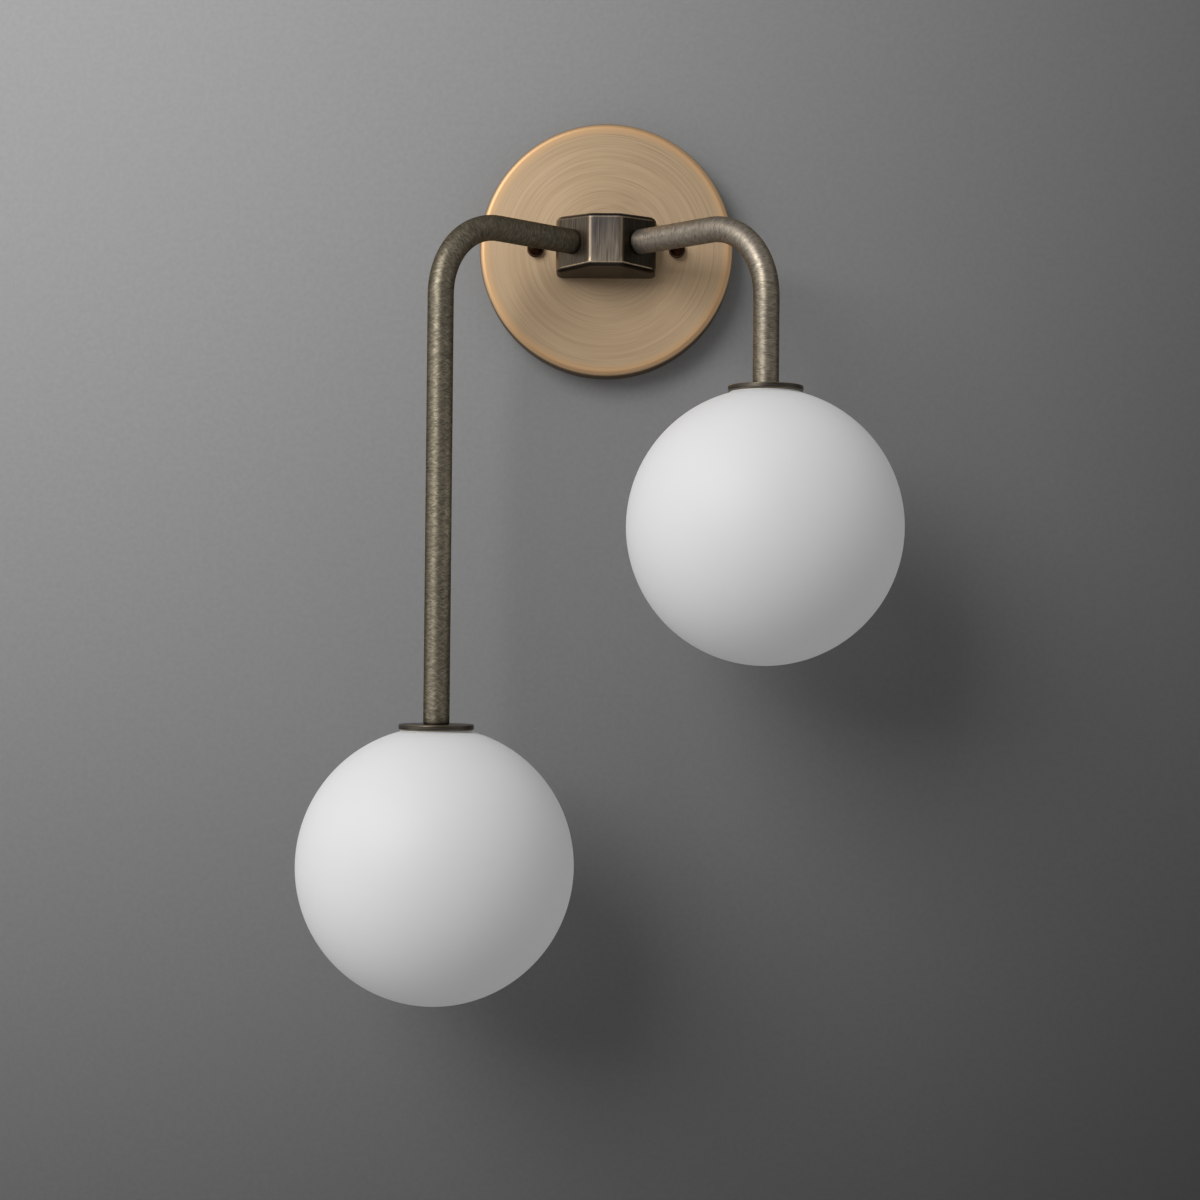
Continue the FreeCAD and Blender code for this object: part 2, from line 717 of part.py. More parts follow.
def make_bulb_envelope(side, drop):
    """Frosted capsule with a round end, closed round the foot of its base."""
    along, square = arm_along(side), arm_across(side)
    top = envelope_top(side, drop)
    r, w = bulb_radius, bulb_wall
    straight = bulb_length - r
    diagonal = math.sqrt(0.5)
    outline = [(0, 0), (r, 0), (r, -straight), (0, -bulb_length), (0, w - bulb_length),
               (r - w, -straight), (r - w, -2 * w - bulb_seat), (0, -2 * w - bulb_seat)]
    capsule = revolve(outline, top, Z, X, {2: (r * diagonal, -straight - r * diagonal),
                                           4: ((r - w) * diagonal, -straight - (r - w) * diagonal)})
    socket = block(top, along, square, bulb_base_length, bulb_base_width, bulb_seat,
                   bulb_base_rounding)
    return capsule.cut(socket)


def make_bulb_core(side, drop):
    """Light-giving stick that stands under the envelope's cap."""
    top = envelope_top(side, drop) - Z * (2 * bulb_wall + bulb_seat)
    return rod(core_radius, core_length, top, -Z)


# ---------------------------------------------------------------- wires and connectors
def make_lamp_wires(side, drop):
    """Two wires of one arm: lampholder, arm, hub, centre nipple, then up or down to a connector."""
    along, square = arm_along(side), arm_across(side)
    wires = []
    for way in (-1, 1):
        offset = way * wire_spread
        facet, corner, foot = arm_points(side, drop)
        shift = along * offset
        low = FreeCAD.Vector(foot.x, foot.y, contact_top(side, drop).z + contact_tab) + shift
        bend = corner + shift + Z * offset
        back = (facet_centre_x - wire_spread) / arm_cosine
        hub_turn = facet - along * back + Z * offset
        wall_turn = FreeCAD.Vector(hub_turn.x, wire_plane_y, hub_turn.z)
        end = FreeCAD.Vector(hub_turn.x, wire_plane_y, way * (connector_start + connector_bore_depth))
        radii = [arm_bend_radius + offset, wire_turn_radius, wire_back_radius]
        path = corner_path([low, bend, hub_turn, wall_turn, end], radii)
        print("lamp wire length %.0f radii" % path.Length, radii)
        wires.append(swept(path, wire_radius))
    return group(wires)


def make_connector(way):
    """Closed tapered connector that takes one wire of each arm; way is 1 above, -1 below."""
    mouth = Y * connector_y + Z * (way * connector_start)
    cone = Part.makeCone(connector_mouth_radius, connector_tip_radius, connector_length,
                         mouth, Z * way)
    tip = [e for e in cone.Edges if abs(e.Length - 2 * math.pi * connector_tip_radius) < 0.01]
    cone = cone.makeFillet(connector_tip_rounding, tip)
    return cone.cut(rod(connector_bore_radius, connector_bore_depth, mouth, Z * way))


def main():
    os.makedirs("parts", exist_ok=True)
    write("canopy", make_canopy())
    write("crossbar", make_crossbar())
    write("canopy_studs", make_studs())
    write("stud_lock_nuts", make_stud_nuts())
    write("ground_screw", make_ground_screw())
    write("ground_terminals", make_ground_terminals())
    write("ground_wire", make_ground_wire())
    write("hub", make_hub())
    write("hub_nipple", make_hub_nipple())
    write("hub_washer", make_hub_washer())
    write("hub_lock_nut", make_hub_nut())
    write("arm_nipples", make_arm_nipples())
    write("stem_lock_nuts", make_stem_nuts())
    write("holder_screws", make_holder_screws())
    write("wire_connector_live", make_connector(1))
    write("wire_connector_neutral", make_connector(-1))
    builders = {"arm": make_arm, "cap_disc": make_disc, "stem_nipple": make_stem_nipple,
                "threaded_cup": make_cup, "globe_gasket": make_gasket, "globe": make_globe,
                "holder_bracket": make_bracket, "lampholder": make_lampholder,
                "holder_collar": make_collar, "lamp_contacts": make_contacts,
                "bulb_base": make_bulb_base, "bulb_pins": make_bulb_pins,
                "bulb_envelope": make_bulb_envelope, "bulb_core": make_bulb_core,
                "lamp_wires": make_lamp_wires}
    for name, (side, drop) in sides.items():
        write("cap_nut_" + name, make_cap_nut(side))
        write("cap_washer_" + name, make_cap_washer(side))
        for piece, build in builders.items():
            write(piece + "_" + name, build(side, drop))


main()
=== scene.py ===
import json
import math

import bpy
import numpy as np
from mathutils import Matrix, Vector


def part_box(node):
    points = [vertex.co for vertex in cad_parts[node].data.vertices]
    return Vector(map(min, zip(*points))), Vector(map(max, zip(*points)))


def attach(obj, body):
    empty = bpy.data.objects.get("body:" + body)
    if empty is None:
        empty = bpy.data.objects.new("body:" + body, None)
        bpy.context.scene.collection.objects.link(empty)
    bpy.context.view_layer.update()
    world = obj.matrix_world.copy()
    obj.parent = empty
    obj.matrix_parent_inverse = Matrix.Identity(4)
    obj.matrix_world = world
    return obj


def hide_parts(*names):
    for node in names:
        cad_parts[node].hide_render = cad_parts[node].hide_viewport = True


# Looks of a double arm wall sconce: a circularly brushed canopy, a cast hub, two cross-brushed tube
# arms, flat discs and matte opal globes, with the fittings behind and inside them.
# Metres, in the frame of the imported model: +Z up, -Y out of the wall.

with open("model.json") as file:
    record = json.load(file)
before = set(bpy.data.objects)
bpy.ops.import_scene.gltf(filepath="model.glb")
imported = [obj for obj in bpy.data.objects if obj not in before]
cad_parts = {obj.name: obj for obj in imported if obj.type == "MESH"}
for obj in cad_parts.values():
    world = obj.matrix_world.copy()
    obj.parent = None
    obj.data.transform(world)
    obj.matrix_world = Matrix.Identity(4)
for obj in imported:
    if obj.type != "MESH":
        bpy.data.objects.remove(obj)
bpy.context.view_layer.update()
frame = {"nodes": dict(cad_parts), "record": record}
MM = 0.001
SIDES = {"left": -1, "right": 1}
X, Y, Z = np.eye(3)


# ---------------- sizes and places
def corners(node):
    """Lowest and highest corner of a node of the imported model, as arrays."""
    low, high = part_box(node)
    return np.array(low), np.array(high)


def extent(node):
    low, high = corners(node)
    return high - low


def upright_seat(node):
    """Centre of an upright round node's foot, its radius and its height."""
    low, high = corners(node)
    seat = [(low[0] + high[0]) / 2, (low[1] + high[1]) / 2, low[2]]
    return seat, (high[0] - low[0]) / 2, high[2] - low[2]


def level_seat(node):
    """Centre of a round node's wall end, its radius and its length out from the wall."""
    low, high = corners(node)
    seat = [(low[0] + high[0]) / 2, high[1], (low[2] + high[2]) / 2]
    return seat, (high[0] - low[0]) / 2, high[1] - low[1]


CANOPY_RADIUS = extent("canopy")[0] / 2
CANOPY_DEPTH = extent("canopy")[1]
CANOPY_WALL = 1.2 * MM
CANOPY_ROLL = 2.6 * MM
HUB_BACK = -CANOPY_DEPTH
HUB_WIDTH, HUB_DEPTH, HUB_HEIGHT = extent("hub")
HUB_END_DEPTH = 12.8 * MM
HUB_FRONT_WIDTH = 15.6 * MM
HUB_DRAFT = math.radians(3.3)
HUB_SWELL = 0.8 * MM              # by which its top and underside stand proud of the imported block's
HUB_TOP_ROUNDING = 2.2 * MM
HUB_END_ROUNDING = 3.4 * MM
HUB_CORNER_ROUNDING = 0.42 * MM
HUB_HEART = 0.45                  # share of its depth at which its middle lies
HUB_ROWS, HUB_COLUMNS = 220, 400
HUB_HALVINGS = 40
WORN_LINE, WORN_LINE_SPREAD = 0.15, 0.17     # where the worn line lies on the way over a round
SHADE_ROUND_START = 0.36                 # where the painted shade in the middle of the round begins on that way
NIPPLE_HOLE = 5.05 * MM           # of each hole that takes a nipple, and of the tubes' bore
ARM_RADIUS = 6.0 * MM
ARM_BEND = 35.0 * MM
ARM_CHAMFER = 0.5 * MM
DISC_ROUNDING = 0.55 * MM
STUD_RADIUS = 2.08 * MM
STUD_PITCH = 0.794 * MM
STUD_THREAD_DEPTH = 0.28 * MM
THREAD_PLAY = 0.05 * MM           # between a stud and the nut on it
WASHER_PLAY = 0.35 * MM
CAP_NUT_END = 0.9 * MM            # metal over the end of its blind hole
CAP_NUT_SKIRT = 0.55              # share of its height that is straight
CUP_BORE = 10.2 * MM
CUP_PLATE = 2.0 * MM
CUP_PITCH = 4.0 * MM
CUP_THREAD_DEPTH = 0.45 * MM
GLOBE_WALL = 2.6 * MM
GLOBE_LIP_RADIUS = 16.6 * MM
NECK_RADIUS = 12.6 * MM
NECK_WALL = 2.6 * MM
NECK_DEPTH = 10.0 * MM
LIP_ROUNDING = 0.8 * MM
NECK_ROUNDING = 0.5 * MM
CONNECTOR_TIP = 3.0 * MM
CONNECTOR_BORE = 2.8 * MM
CONNECTOR_BORE_DEPTH = 6.0 * MM
FLUTES = 18
FLUTE_DEPTH = 0.28 * MM


# ---------------- surfaces from arrays
def placed(name, data):
    """A new object in the scene."""
    thing = bpy.data.objects.new(name, data)
    bpy.context.scene.collection.objects.link(thing)
    return thing


def surface(name, points, around, edge, wrap_rows=False, sharp=35.0):
    """Closed skin through a grid of points (rows, columns, 3) whose columns close on themselves.
    A row whose points are all one becomes a pole.  around holds each point's attribute 'around':
    on a round piece the distance along its profile and two coordinates round it, on the hub and the
    nuts the point itself.  edge is the nearness to a worn edge, and on the hub it is below zero in
    the middle of a round, where shade is painted.  Faces are turned outwards by the sign of the
    enclosed volume."""
    rows, columns = points.shape[:2]
    index = np.arange(rows * columns).reshape(rows, columns)
    pole = np.ptp(points, axis=1).max(axis=1) < 1e-9
    index[pole] = index[pole][:, :1]
    ring = np.concatenate([index, index[:, :1]], axis=1)
    if wrap_rows:
        ring = np.concatenate([ring, ring[:1]], axis=0)
    quads = np.stack([ring[:-1, :-1], ring[:-1, 1:], ring[1:, 1:], ring[1:, :-1]], -1).reshape(-1, 4)
    top = quads[:, 0] == quads[:, 1]
    foot = quads[:, 2] == quads[:, 3]
    fans = np.concatenate([quads[top][:, [0, 2, 3]], quads[foot & ~top][:, [0, 1, 2]]])
    quads = quads[~top & ~foot]
    flat = points.reshape(-1, 3)
    if enclosed(flat, quads, fans) < 0:
        quads, fans = quads[:, ::-1], fans[:, ::-1]
    used, place = np.unique(np.concatenate([quads.ravel(), fans.ravel()]), return_inverse=True)
    quads, fans = place[:quads.size].reshape(-1, 4), place[quads.size:].reshape(-1, 3)
    mesh = bpy.data.meshes.new(name)
    mesh.from_pydata(flat[used].tolist(), [], quads.tolist() + fans.tolist())
    set_attribute(mesh, "around", "FLOAT_VECTOR", around.reshape(-1, 3)[used])
    set_attribute(mesh, "edge", "FLOAT", edge.reshape(-1)[used])
    set_attribute(mesh, "across", "FLOAT_VECTOR", profile_way(points, wrap_rows).reshape(-1, 3)[used])
    mesh.shade_smooth()
    mesh.set_sharp_from_angle(angle=math.radians(sharp))
    return placed(name, mesh)


def profile_way(points, wrap_rows):
    """Unit direction from row to row at each point, which is square to lines brushed round a piece."""
    way = np.roll(points, -1, axis=0) - np.roll(points, 1, axis=0)
    if not wrap_rows:
        way[0], way[-1] = points[1] - points[0], points[-1] - points[-2]
    return way / np.maximum(np.linalg.norm(way, axis=-1, keepdims=True), 1e-12)


def enclosed(points, quads, fans):
    """Six times the volume inside the faces: the sum of triple products of their corners."""
    triangles = np.concatenate([quads[:, [0, 1, 2]], quads[:, [0, 2, 3]], fans])
    a, b, c = (points[triangles[:, k]] for k in range(3))
    return np.einsum("ij,ij->i", a, np.cross(b, c)).sum()


def set_attribute(mesh, name, kind, values):
    attribute = mesh.attributes.new(name, kind, "POINT")
    attribute.data.foreach_set("vector" if kind == "FLOAT_VECTOR" else "value",
                               np.asarray(values, np.float32).ravel())


def profile(corner_list, steps=6, spacing=None, closed=True):
    """Outline through corners (radius, height, rounding): a rounding is a tangent arc of that
    radius.  Returns the points (radius, height), distance along, and distance to the nearest
    rounded corner.  spacing adds points on long straight runs."""
    spots, turns = [], []
    total = len(corner_list)
    for k, (r, h, rounding) in enumerate(corner_list):
        here = np.array([r, h])
        if not closed and k in (0, total - 1) or rounding <= 0:
            spots.append(here)
            continue
        before = np.array(corner_list[k - 1][:2]) - here
        after = np.array(corner_list[(k + 1) % total][:2]) - here
        before, after = before / np.linalg.norm(before), after / np.linalg.norm(after)
        half = math.acos(np.clip(before @ after, -1, 1)) / 2
        centre = here + (before + after) / np.linalg.norm(before + after) * rounding / math.sin(half)
        start = here + before * rounding / math.tan(half) - centre
        end = here + after * rounding / math.tan(half) - centre
        sweep = math.pi - 2 * half
        share = np.linspace(0, 1, steps + 1)[:, None]
        arc = (np.sin((1 - share) * sweep) * start + np.sin(share * sweep) * end) / math.sin(sweep)
        spots.extend(centre + arc)
        turns.append(here)
    spots = np.array(spots)
    if spacing:
        spots = divided(spots, spacing, closed)
    steps_between = np.linalg.norm(np.diff(spots, axis=0), axis=1)
    along = np.concatenate([[0], np.cumsum(steps_between)])
    near = np.full(len(spots), np.inf)
    for turn in turns:
        near = np.minimum(near, np.linalg.norm(spots - turn, axis=1))
    return spots, along, near


def divided(spots, spacing, closed):
    """The same outline with every run longer than spacing cut into equal steps."""
    ends = np.roll(spots, -1, axis=0) if closed else spots[1:]
    parts = []
    for start, end in zip(spots, ends):
        count = max(1, math.ceil(np.linalg.norm(end - start) / spacing))
        share = np.arange(count)[:, None] / count
        parts.append(start + (end - start) * share)
    if not closed:
        parts.append(spots[-1:])
    return np.concatenate(parts)


def axes_of(axis):
    """Two unit directions square to an axis and to each other."""
    out = X if abs(axis[0]) < 0.9 else Z
    return out, np.cross(axis, out)


def rolled(along, reach, angle):
    """Attribute 'around': distance along, then two coordinates on a circle of radius reach."""
    circle = [along[:, None], reach * np.cos(angle), reach * np.sin(angle)]
    return np.stack(np.broadcast_arrays(*circle), -1)


def turned(name, centre, axis, outline, columns=96, steps=6, spacing=None, closed=True,
           wear=0.8 * MM, shift=None):
    """Surface of revolution: the outline's (radius, height) carried round axis through centre, at
    columns equal angles.  wear is how far a worn edge reaches.  shift, if given, is a function of
    (radius, height, angle) that returns an offset of the radius."""
    spots, along, near = profile(outline, steps, spacing, closed)
    angle = np.linspace(0, 2 * math.pi, columns, endpoint=False)
    radius = np.repeat(spots[:, :1], columns, axis=1)
    height = np.repeat(spots[:, 1:], columns, axis=1)
    if shift is not None:
        radius = radius + shift(radius, height, angle[None, :])
    out, side = axes_of(axis)
    points = (np.asarray(centre) + height[..., None] * axis
              + (radius * np.cos(angle))[..., None] * out + (radius * np.sin(angle))[..., None] * side)
    reach = spots[:, 0].max()
    around = rolled(along, reach, angle)
    edge = np.repeat(np.exp(-(near / wear) ** 2)[:, None], columns, axis=1)
    return surface(name, points, around, edge, wrap_rows=closed)


def thread(outer, depth, pitch, low, high):
    """Offset of the radius for a thread: a triangle wave of height along the pitch, turned once
    round per pitch, on the outer wall between two heights, fading out over its last half pitch."""
    def shift(radius, height, angle):
        wave = np.abs(((height / pitch - angle / (2 * math.pi)) % 1.0) * 2 - 1)
        fade = np.clip((height - low) / pitch * 2, 0, 1) * np.clip((high - height) / pitch * 2, 0, 1)
        return np.where(radius > outer - 1e-6, -depth * wave * fade, 0.0)
    return shift


# ---------------- shapes of this light
def hub_body(name):
    """Cast block.  Its front and facets join in a soft maximum of the distances to them, log(sum of
    exp(distance / rounding)) * rounding.  The drafted top and underside and the two ends meet them in
    a round: the skin lies where max(0, 1 + distance / R)^2, added over the three kinds of face, is 1.
    Halving finds it along each direction of a sphere's grid, seen from the middle.  The edge
    attribute is 1 where an edge is rubbed and -1 in the middle of the round, where shade is painted."""
    half_width, half_front = HUB_WIDTH / 2, HUB_FRONT_WIDTH / 2
    facet = np.array([HUB_DEPTH - HUB_END_DEPTH, -(half_width - half_front)])
    facet = facet / np.linalg.norm(facet)
    slope = np.array([0, -math.sin(HUB_DRAFT), math.cos(HUB_DRAFT)])
    back = np.array([0, HUB_BACK, 0])
    end = np.array([half_width, HUB_BACK - HUB_END_DEPTH, 0])
    upright = [(-Y, back - Y * HUB_DEPTH)]
    slopes, ends = [], []
    for sign in (-1, 1):
        flip = np.array([sign, 1, 1])
        ends.append((X * sign, end * flip))
        upright.append((np.array([facet[0] * sign, facet[1], 0]), end * flip))
        slopes.append((slope * (1, 1, sign), back + Z * sign * (HUB_HEIGHT / 2 + HUB_SWELL)))

    polar = np.linspace(0, math.pi, HUB_ROWS)[:, None]
    angle = np.linspace(0, 2 * math.pi, HUB_COLUMNS, endpoint=False)
    ways = np.stack(np.broadcast_arrays(np.sin(polar) * np.cos(angle), np.sin(polar) * np.sin(angle),
                                        np.cos(polar) + 0 * angle), -1)
    centre = back - Y * HUB_DEPTH * HUB_HEART

    def gaps(points, faces):
        return np.stack([(points - spot) @ normal for normal, spot in faces], -1)

    def shares(points):
        plan = gaps(points, upright) / HUB_CORNER_ROUNDING
        top = plan.max(-1)
        plan = (top + np.log(np.exp(plan - top[..., None]).sum(-1))) * HUB_CORNER_ROUNDING
        lid = np.maximum(0, 1 + gaps(points, slopes).max(-1) / HUB_TOP_ROUNDING)
        side = np.maximum(0, 1 + gaps(points, ends).max(-1) / HUB_END_ROUNDING)
        return np.maximum(0, 1 + plan / HUB_TOP_ROUNDING), lid, side

    near, far = np.zeros(ways.shape[:2]), np.full(ways.shape[:2], HUB_WIDTH)
    for _ in range(HUB_HALVINGS):
        reach = (near + far) / 2
        points = centre + ways * reach[..., None]
        flank, lid, side = shares(points)
        outside = (flank ** 2 + lid ** 2 + side ** 2 > 1) | (points[..., 1] > HUB_BACK)
        near, far = np.where(outside, near, reach), np.where(outside, reach, far)
    points = centre + ways * near[..., None]
    flank, lid, side = shares(points)
    weights = np.exp(gaps(points, upright) / (1.1 * HUB_CORNER_ROUNDING))
    corner = 2 * (1 - weights.max(-1) / weights.sum(-1)) * (1 - lid)
    line = np.exp(-((lid - WORN_LINE) / WORN_LINE_SPREAD) ** 2) * np.clip(lid * 16, 0, 1)
    line = line * np.clip(np.maximum(flank, side) * 4 - 2.6, 0, 1)
    edge = np.where(lid > SHADE_ROUND_START, -2 * flank * lid, np.maximum(corner, line))
    return surface(name, points, points, np.clip(edge, -1, 1), sharp=80.0)


def arm_tube(name, side):
    """Bent tube: a circle carried along a line that runs straight from the hub's facet, turns down
    through a quarter circle and runs straight to the disc, with its bore and two chamfered ends."""
    low, high = corners("arm_" + side)
    sign = SIDES[side]
    foot = np.array([(high if sign > 0 else low)[0] - sign * ARM_RADIUS, low[1] + ARM_RADIUS, low[2]])
    start_x = sign * (HUB_WIDTH + HUB_FRONT_WIDTH) / 4
    along_plan = np.array([foot[0] - start_x, foot[1] - (HUB_BACK - (HUB_DEPTH + HUB_END_DEPTH) / 2), 0])
    start = foot - along_plan
    start[2] = 0
    level = np.linalg.norm(along_plan)
    plan = along_plan / level
    bend_start = level - ARM_BEND
    bend_end = bend_start + ARM_BEND * math.pi / 2
    whole = bend_end - ARM_BEND - foot[2]
    runs = np.concatenate([np.linspace(ARM_CHAMFER, bend_start, 16),
                           np.linspace(bend_start, bend_end, 60)[1:],
                           np.linspace(bend_end, whole - ARM_CHAMFER, 2 + int(whole / (6 * MM)))[1:]])
    along = np.concatenate([[0], runs, [whole], runs[::-1]])
    radius = np.concatenate([[ARM_RADIUS - ARM_CHAMFER], np.full(len(runs), ARM_RADIUS),
                             [ARM_RADIUS - ARM_CHAMFER], np.full(len(runs), NIPPLE_HOLE)])
    turn = np.clip((along - bend_start) / ARM_BEND, 0, math.pi / 2)
    ahead = np.minimum(along, bend_start) + ARM_BEND * np.sin(turn)
    down = ARM_BEND * (1 - np.cos(turn)) + np.maximum(0, along - bend_end)
    line = start + ahead[:, None] * plan - down[:, None] * Z
    normal = np.sin(turn)[:, None] * plan + np.cos(turn)[:, None] * Z
    across = np.cross(Z, plan)
    flat = np.linspace(0, 2 * math.pi, 72, endpoint=False)
    angle = flat[None, :, None]
    way = np.cos(angle) * normal[:, None] + np.sin(angle) * across
    points = line[:, None] + radius[:, None, None] * way
    ends = np.exp(-(np.minimum(along, whole - along) / (1.2 * MM)) ** 2)
    edge = np.repeat(ends[:, None], len(flat), axis=1)
    return surface(name, points, rolled(along, ARM_RADIUS, flat), edge, wrap_rows=True)


def hex_nut(name, centre, axis, width, height, bore, corner_way, columns=72):
    """Hexagonal nut: the radius of a hexagon at each angle, faces cut by a 30 degree cone outside
    95% of its flats, and a plain bore.  The rows run out over the top, down and back below."""
    side = np.cross(axis, corner_way)
    angle = np.linspace(0, 2 * math.pi, columns, endpoint=False)
    rim = width / 2 / np.cos((angle % (math.pi / 3)) - math.pi / 6)
    share = np.array([0, 0.12, 0.5, 0.8, 0.88, 0.94, 0.98, 1.0])[:, None]
    radius = bore + (rim - bore) * share
    drop = np.maximum(0, radius - 0.95 * width / 2) * math.tan(math.pi / 6)
    drop = np.maximum(drop, (share == 0) * 0.25 * MM)
    radii = np.concatenate([radius, radius[::-1]])
    heights = np.concatenate([height - drop, drop[::-1]])
    points = (centre + heights[..., None] * axis + (radii * np.cos(angle))[..., None] * corner_way
              + (radii * np.sin(angle))[..., None] * side)
    edge = np.exp(-((rim - radii) / (0.5 * MM)) ** 2)
    return surface(name, points, points, edge, wrap_rows=True, sharp=25.0)


# ---------------- nodes
def plug(tree, socket, value):
    """Links an output to an input, or sets the input's own value."""
    if isinstance(value, bpy.types.NodeSocket):
        tree.links.new(value, socket)
    elif isinstance(value, (tuple, list)) and len(value) == 3 and len(socket.default_value) == 4:
        socket.default_value = (*value, 1.0)
    else:
        socket.default_value = value


def add(tree, kind, settings=None, **inputs):
    """A node with its settings, and inputs by name (an underscore stands for a space)."""
    node = tree.nodes.new(kind)
    for key, value in (settings or {}).items():
        setattr(node, key, value)
    for key, value in inputs.items():
        plug(tree, node.inputs[key.replace("_", " ")], value)
    return node


def worked_out(tree, kind, operation, a, b=None):
    """Outputs of a node that works out one operation on one or two values."""
    node = add(tree, kind, {"operation": operation})
    plug(tree, node.inputs[0], a)
    if b is not None:
        plug(tree, node.inputs[1], b)
    return node.outputs


def calculate(tree, operation, a, b=None):
    return worked_out(tree, "ShaderNodeMath", operation, a, b)[0]


def on_vectors(tree, operation, a, b=None):
    """Outputs of a vector operation: its Vector and its Value."""
    return worked_out(tree, "ShaderNodeVectorMath", operation, a, b)


def times(tree, a, b):
    return calculate(tree, "MULTIPLY", a, b)


def plus(tree, a, b):
    return calculate(tree, "ADD", a, b)


def minus(tree, a, b):
    return calculate(tree, "SUBTRACT", a, b)


def blended(tree, share, a, b):
    """Colour a where share is 0 and b where it is 1."""
    node = add(tree, "ShaderNodeMix", {"data_type": "RGBA"})
    plug(tree, node.inputs[0], share)
    plug(tree, node.inputs[6], a)
    plug(tree, node.inputs[7], b)
    return node.outputs[2]


def ranged(tree, value, low, high, to_low=0.0, to_high=1.0):
    """A value mapped from one range to another, and held within it."""
    node = add(tree, "ShaderNodeMapRange", {"clamp": True}, Value=value)
    for key, number in (("From Min", low), ("From Max", high), ("To Min", to_low), ("To Max", to_high)):
        plug(tree, node.inputs[key], number)
    return node.outputs[0]


def noise_on(tree, vector, scale, detail, **more):
    return add(tree, "ShaderNodeTexNoise", Vector=vector, Scale=scale, Detail=detail, **more).outputs["Fac"]


def stretched_noise(tree, vector, first, rest, detail):
    """Noise on a vector whose first coordinate is scaled by first and the other two by rest."""
    scales = add(tree, "ShaderNodeCombineXYZ", X=first, Y=rest, Z=rest).outputs[0]
    return noise_on(tree, on_vectors(tree, "MULTIPLY", vector, scales)["Vector"], 1.0, detail, Roughness=0.5)


def new_group(name, vector, numbers, results):
    """Empty node group with a vector input, float inputs and float outputs, by their names."""
    group = bpy.data.node_groups.new(name, "ShaderNodeTree")
    group.interface.new_socket(vector, in_out="INPUT", socket_type="NodeSocketVector")
    for label in numbers:
        group.interface.new_socket(label, in_out="INPUT", socket_type="NodeSocketFloat")
    for label in results:
        group.interface.new_socket(label, in_out="OUTPUT", socket_type="NodeSocketFloat")
    return group, group.nodes.new("NodeGroupInput").outputs, group.nodes.new("NodeGroupOutput").inputs


def make_brushing():
    """Lines that run round a piece: three sets of noise, each broader than the last, that change
    fast along the profile and slowly round it, and a few deeper scratches."""
    group, given, out = new_group("brushing", "Around", ("Lines", "Length", "Scratches"),
                                  ("Height", "Broad", "Scratch"))
    sets = []
    for share, detail in ((1.0, 1.0), (0.37, 0.5), (0.11, 0.0)):
        lines = times(group, given["Lines"], share)
        sets.append(stretched_noise(group, given["Around"], lines, given["Length"], detail))
    finest, finer, broad = sets
    plug(group, out["Height"], plus(group, times(group, finest, 0.5), times(group, finer, 0.5)))
    plug(group, out["Broad"], broad)
    deep = stretched_noise(group, given["Around"], times(group, given["Lines"], 0.61),
                           times(group, given["Length"], 1.3), 0.0)
    few = minus(group, 0.80, times(group, given["Scratches"], 0.16))
    plug(group, out["Scratch"], ranged(group, deep, few, plus(group, few, 0.08)))
    return group


def make_patina():
    """Soft clouds of tarnish with ragged borders, from two sizes of noise."""
    group, given, out = new_group("patina", "Vector", ("Scale", "Cover", "Softness"), ("Mask",))
    large = noise_on(group, given["Vector"], given["Scale"], 5.0, Roughness=0.6, Distortion=0.4)
    small = noise_on(group, given["Vector"], times(group, given["Scale"], 9.0), 3.0)
    both = plus(group, times(group, large, 0.75), times(group, small, 0.25))
    level = minus(group, 1.0, given["Cover"])
    plug(group, out["Mask"], ranged(group, both, minus(group, level, given["Softness"]),
                                    plus(group, level, given["Softness"])))
    return group


def make_worn_edge():
    """Ragged band along worn edges: the edge attribute, raised or lowered by noise."""
    group, given, out = new_group("worn_edge", "Vector", ("Edge", "Scale", "Amount"), ("Mask",))
    noise = noise_on(group, given["Vector"], given["Scale"], 4.0, Roughness=0.7)
    ragged = plus(group, given["Edge"], times(group, minus(group, noise, 0.5), 0.9))
    level = minus(group, 1.0, given["Amount"])
    plug(group, out["Mask"], ranged(group, ragged, minus(group, level, 0.25), plus(group, level, 0.25)))
    return group


def make_speckle():
    """Fine grain of a cast, moulded or etched skin, as a height and as pits."""
    group, given, out = new_group("speckle", "Vector", ("Scale",), ("Height", "Pits"))
    grain = noise_on(group, given["Vector"], given["Scale"], 4.0, Roughness=0.65)
    cells = add(group, "ShaderNodeTexVoronoi", Vector=given["Vector"],
                Scale=times(group, given["Scale"], 0.3)).outputs["Distance"]
    plug(group, out["Height"], grain)
    plug(group, out["Pits"], ranged(group, cells, 0.05, 0.22, 1.0, 0.0))
    return group


BRUSHING = make_brushing()
PATINA = make_patina()
WORN_EDGE = make_worn_edge()
SPECKLE = make_speckle()


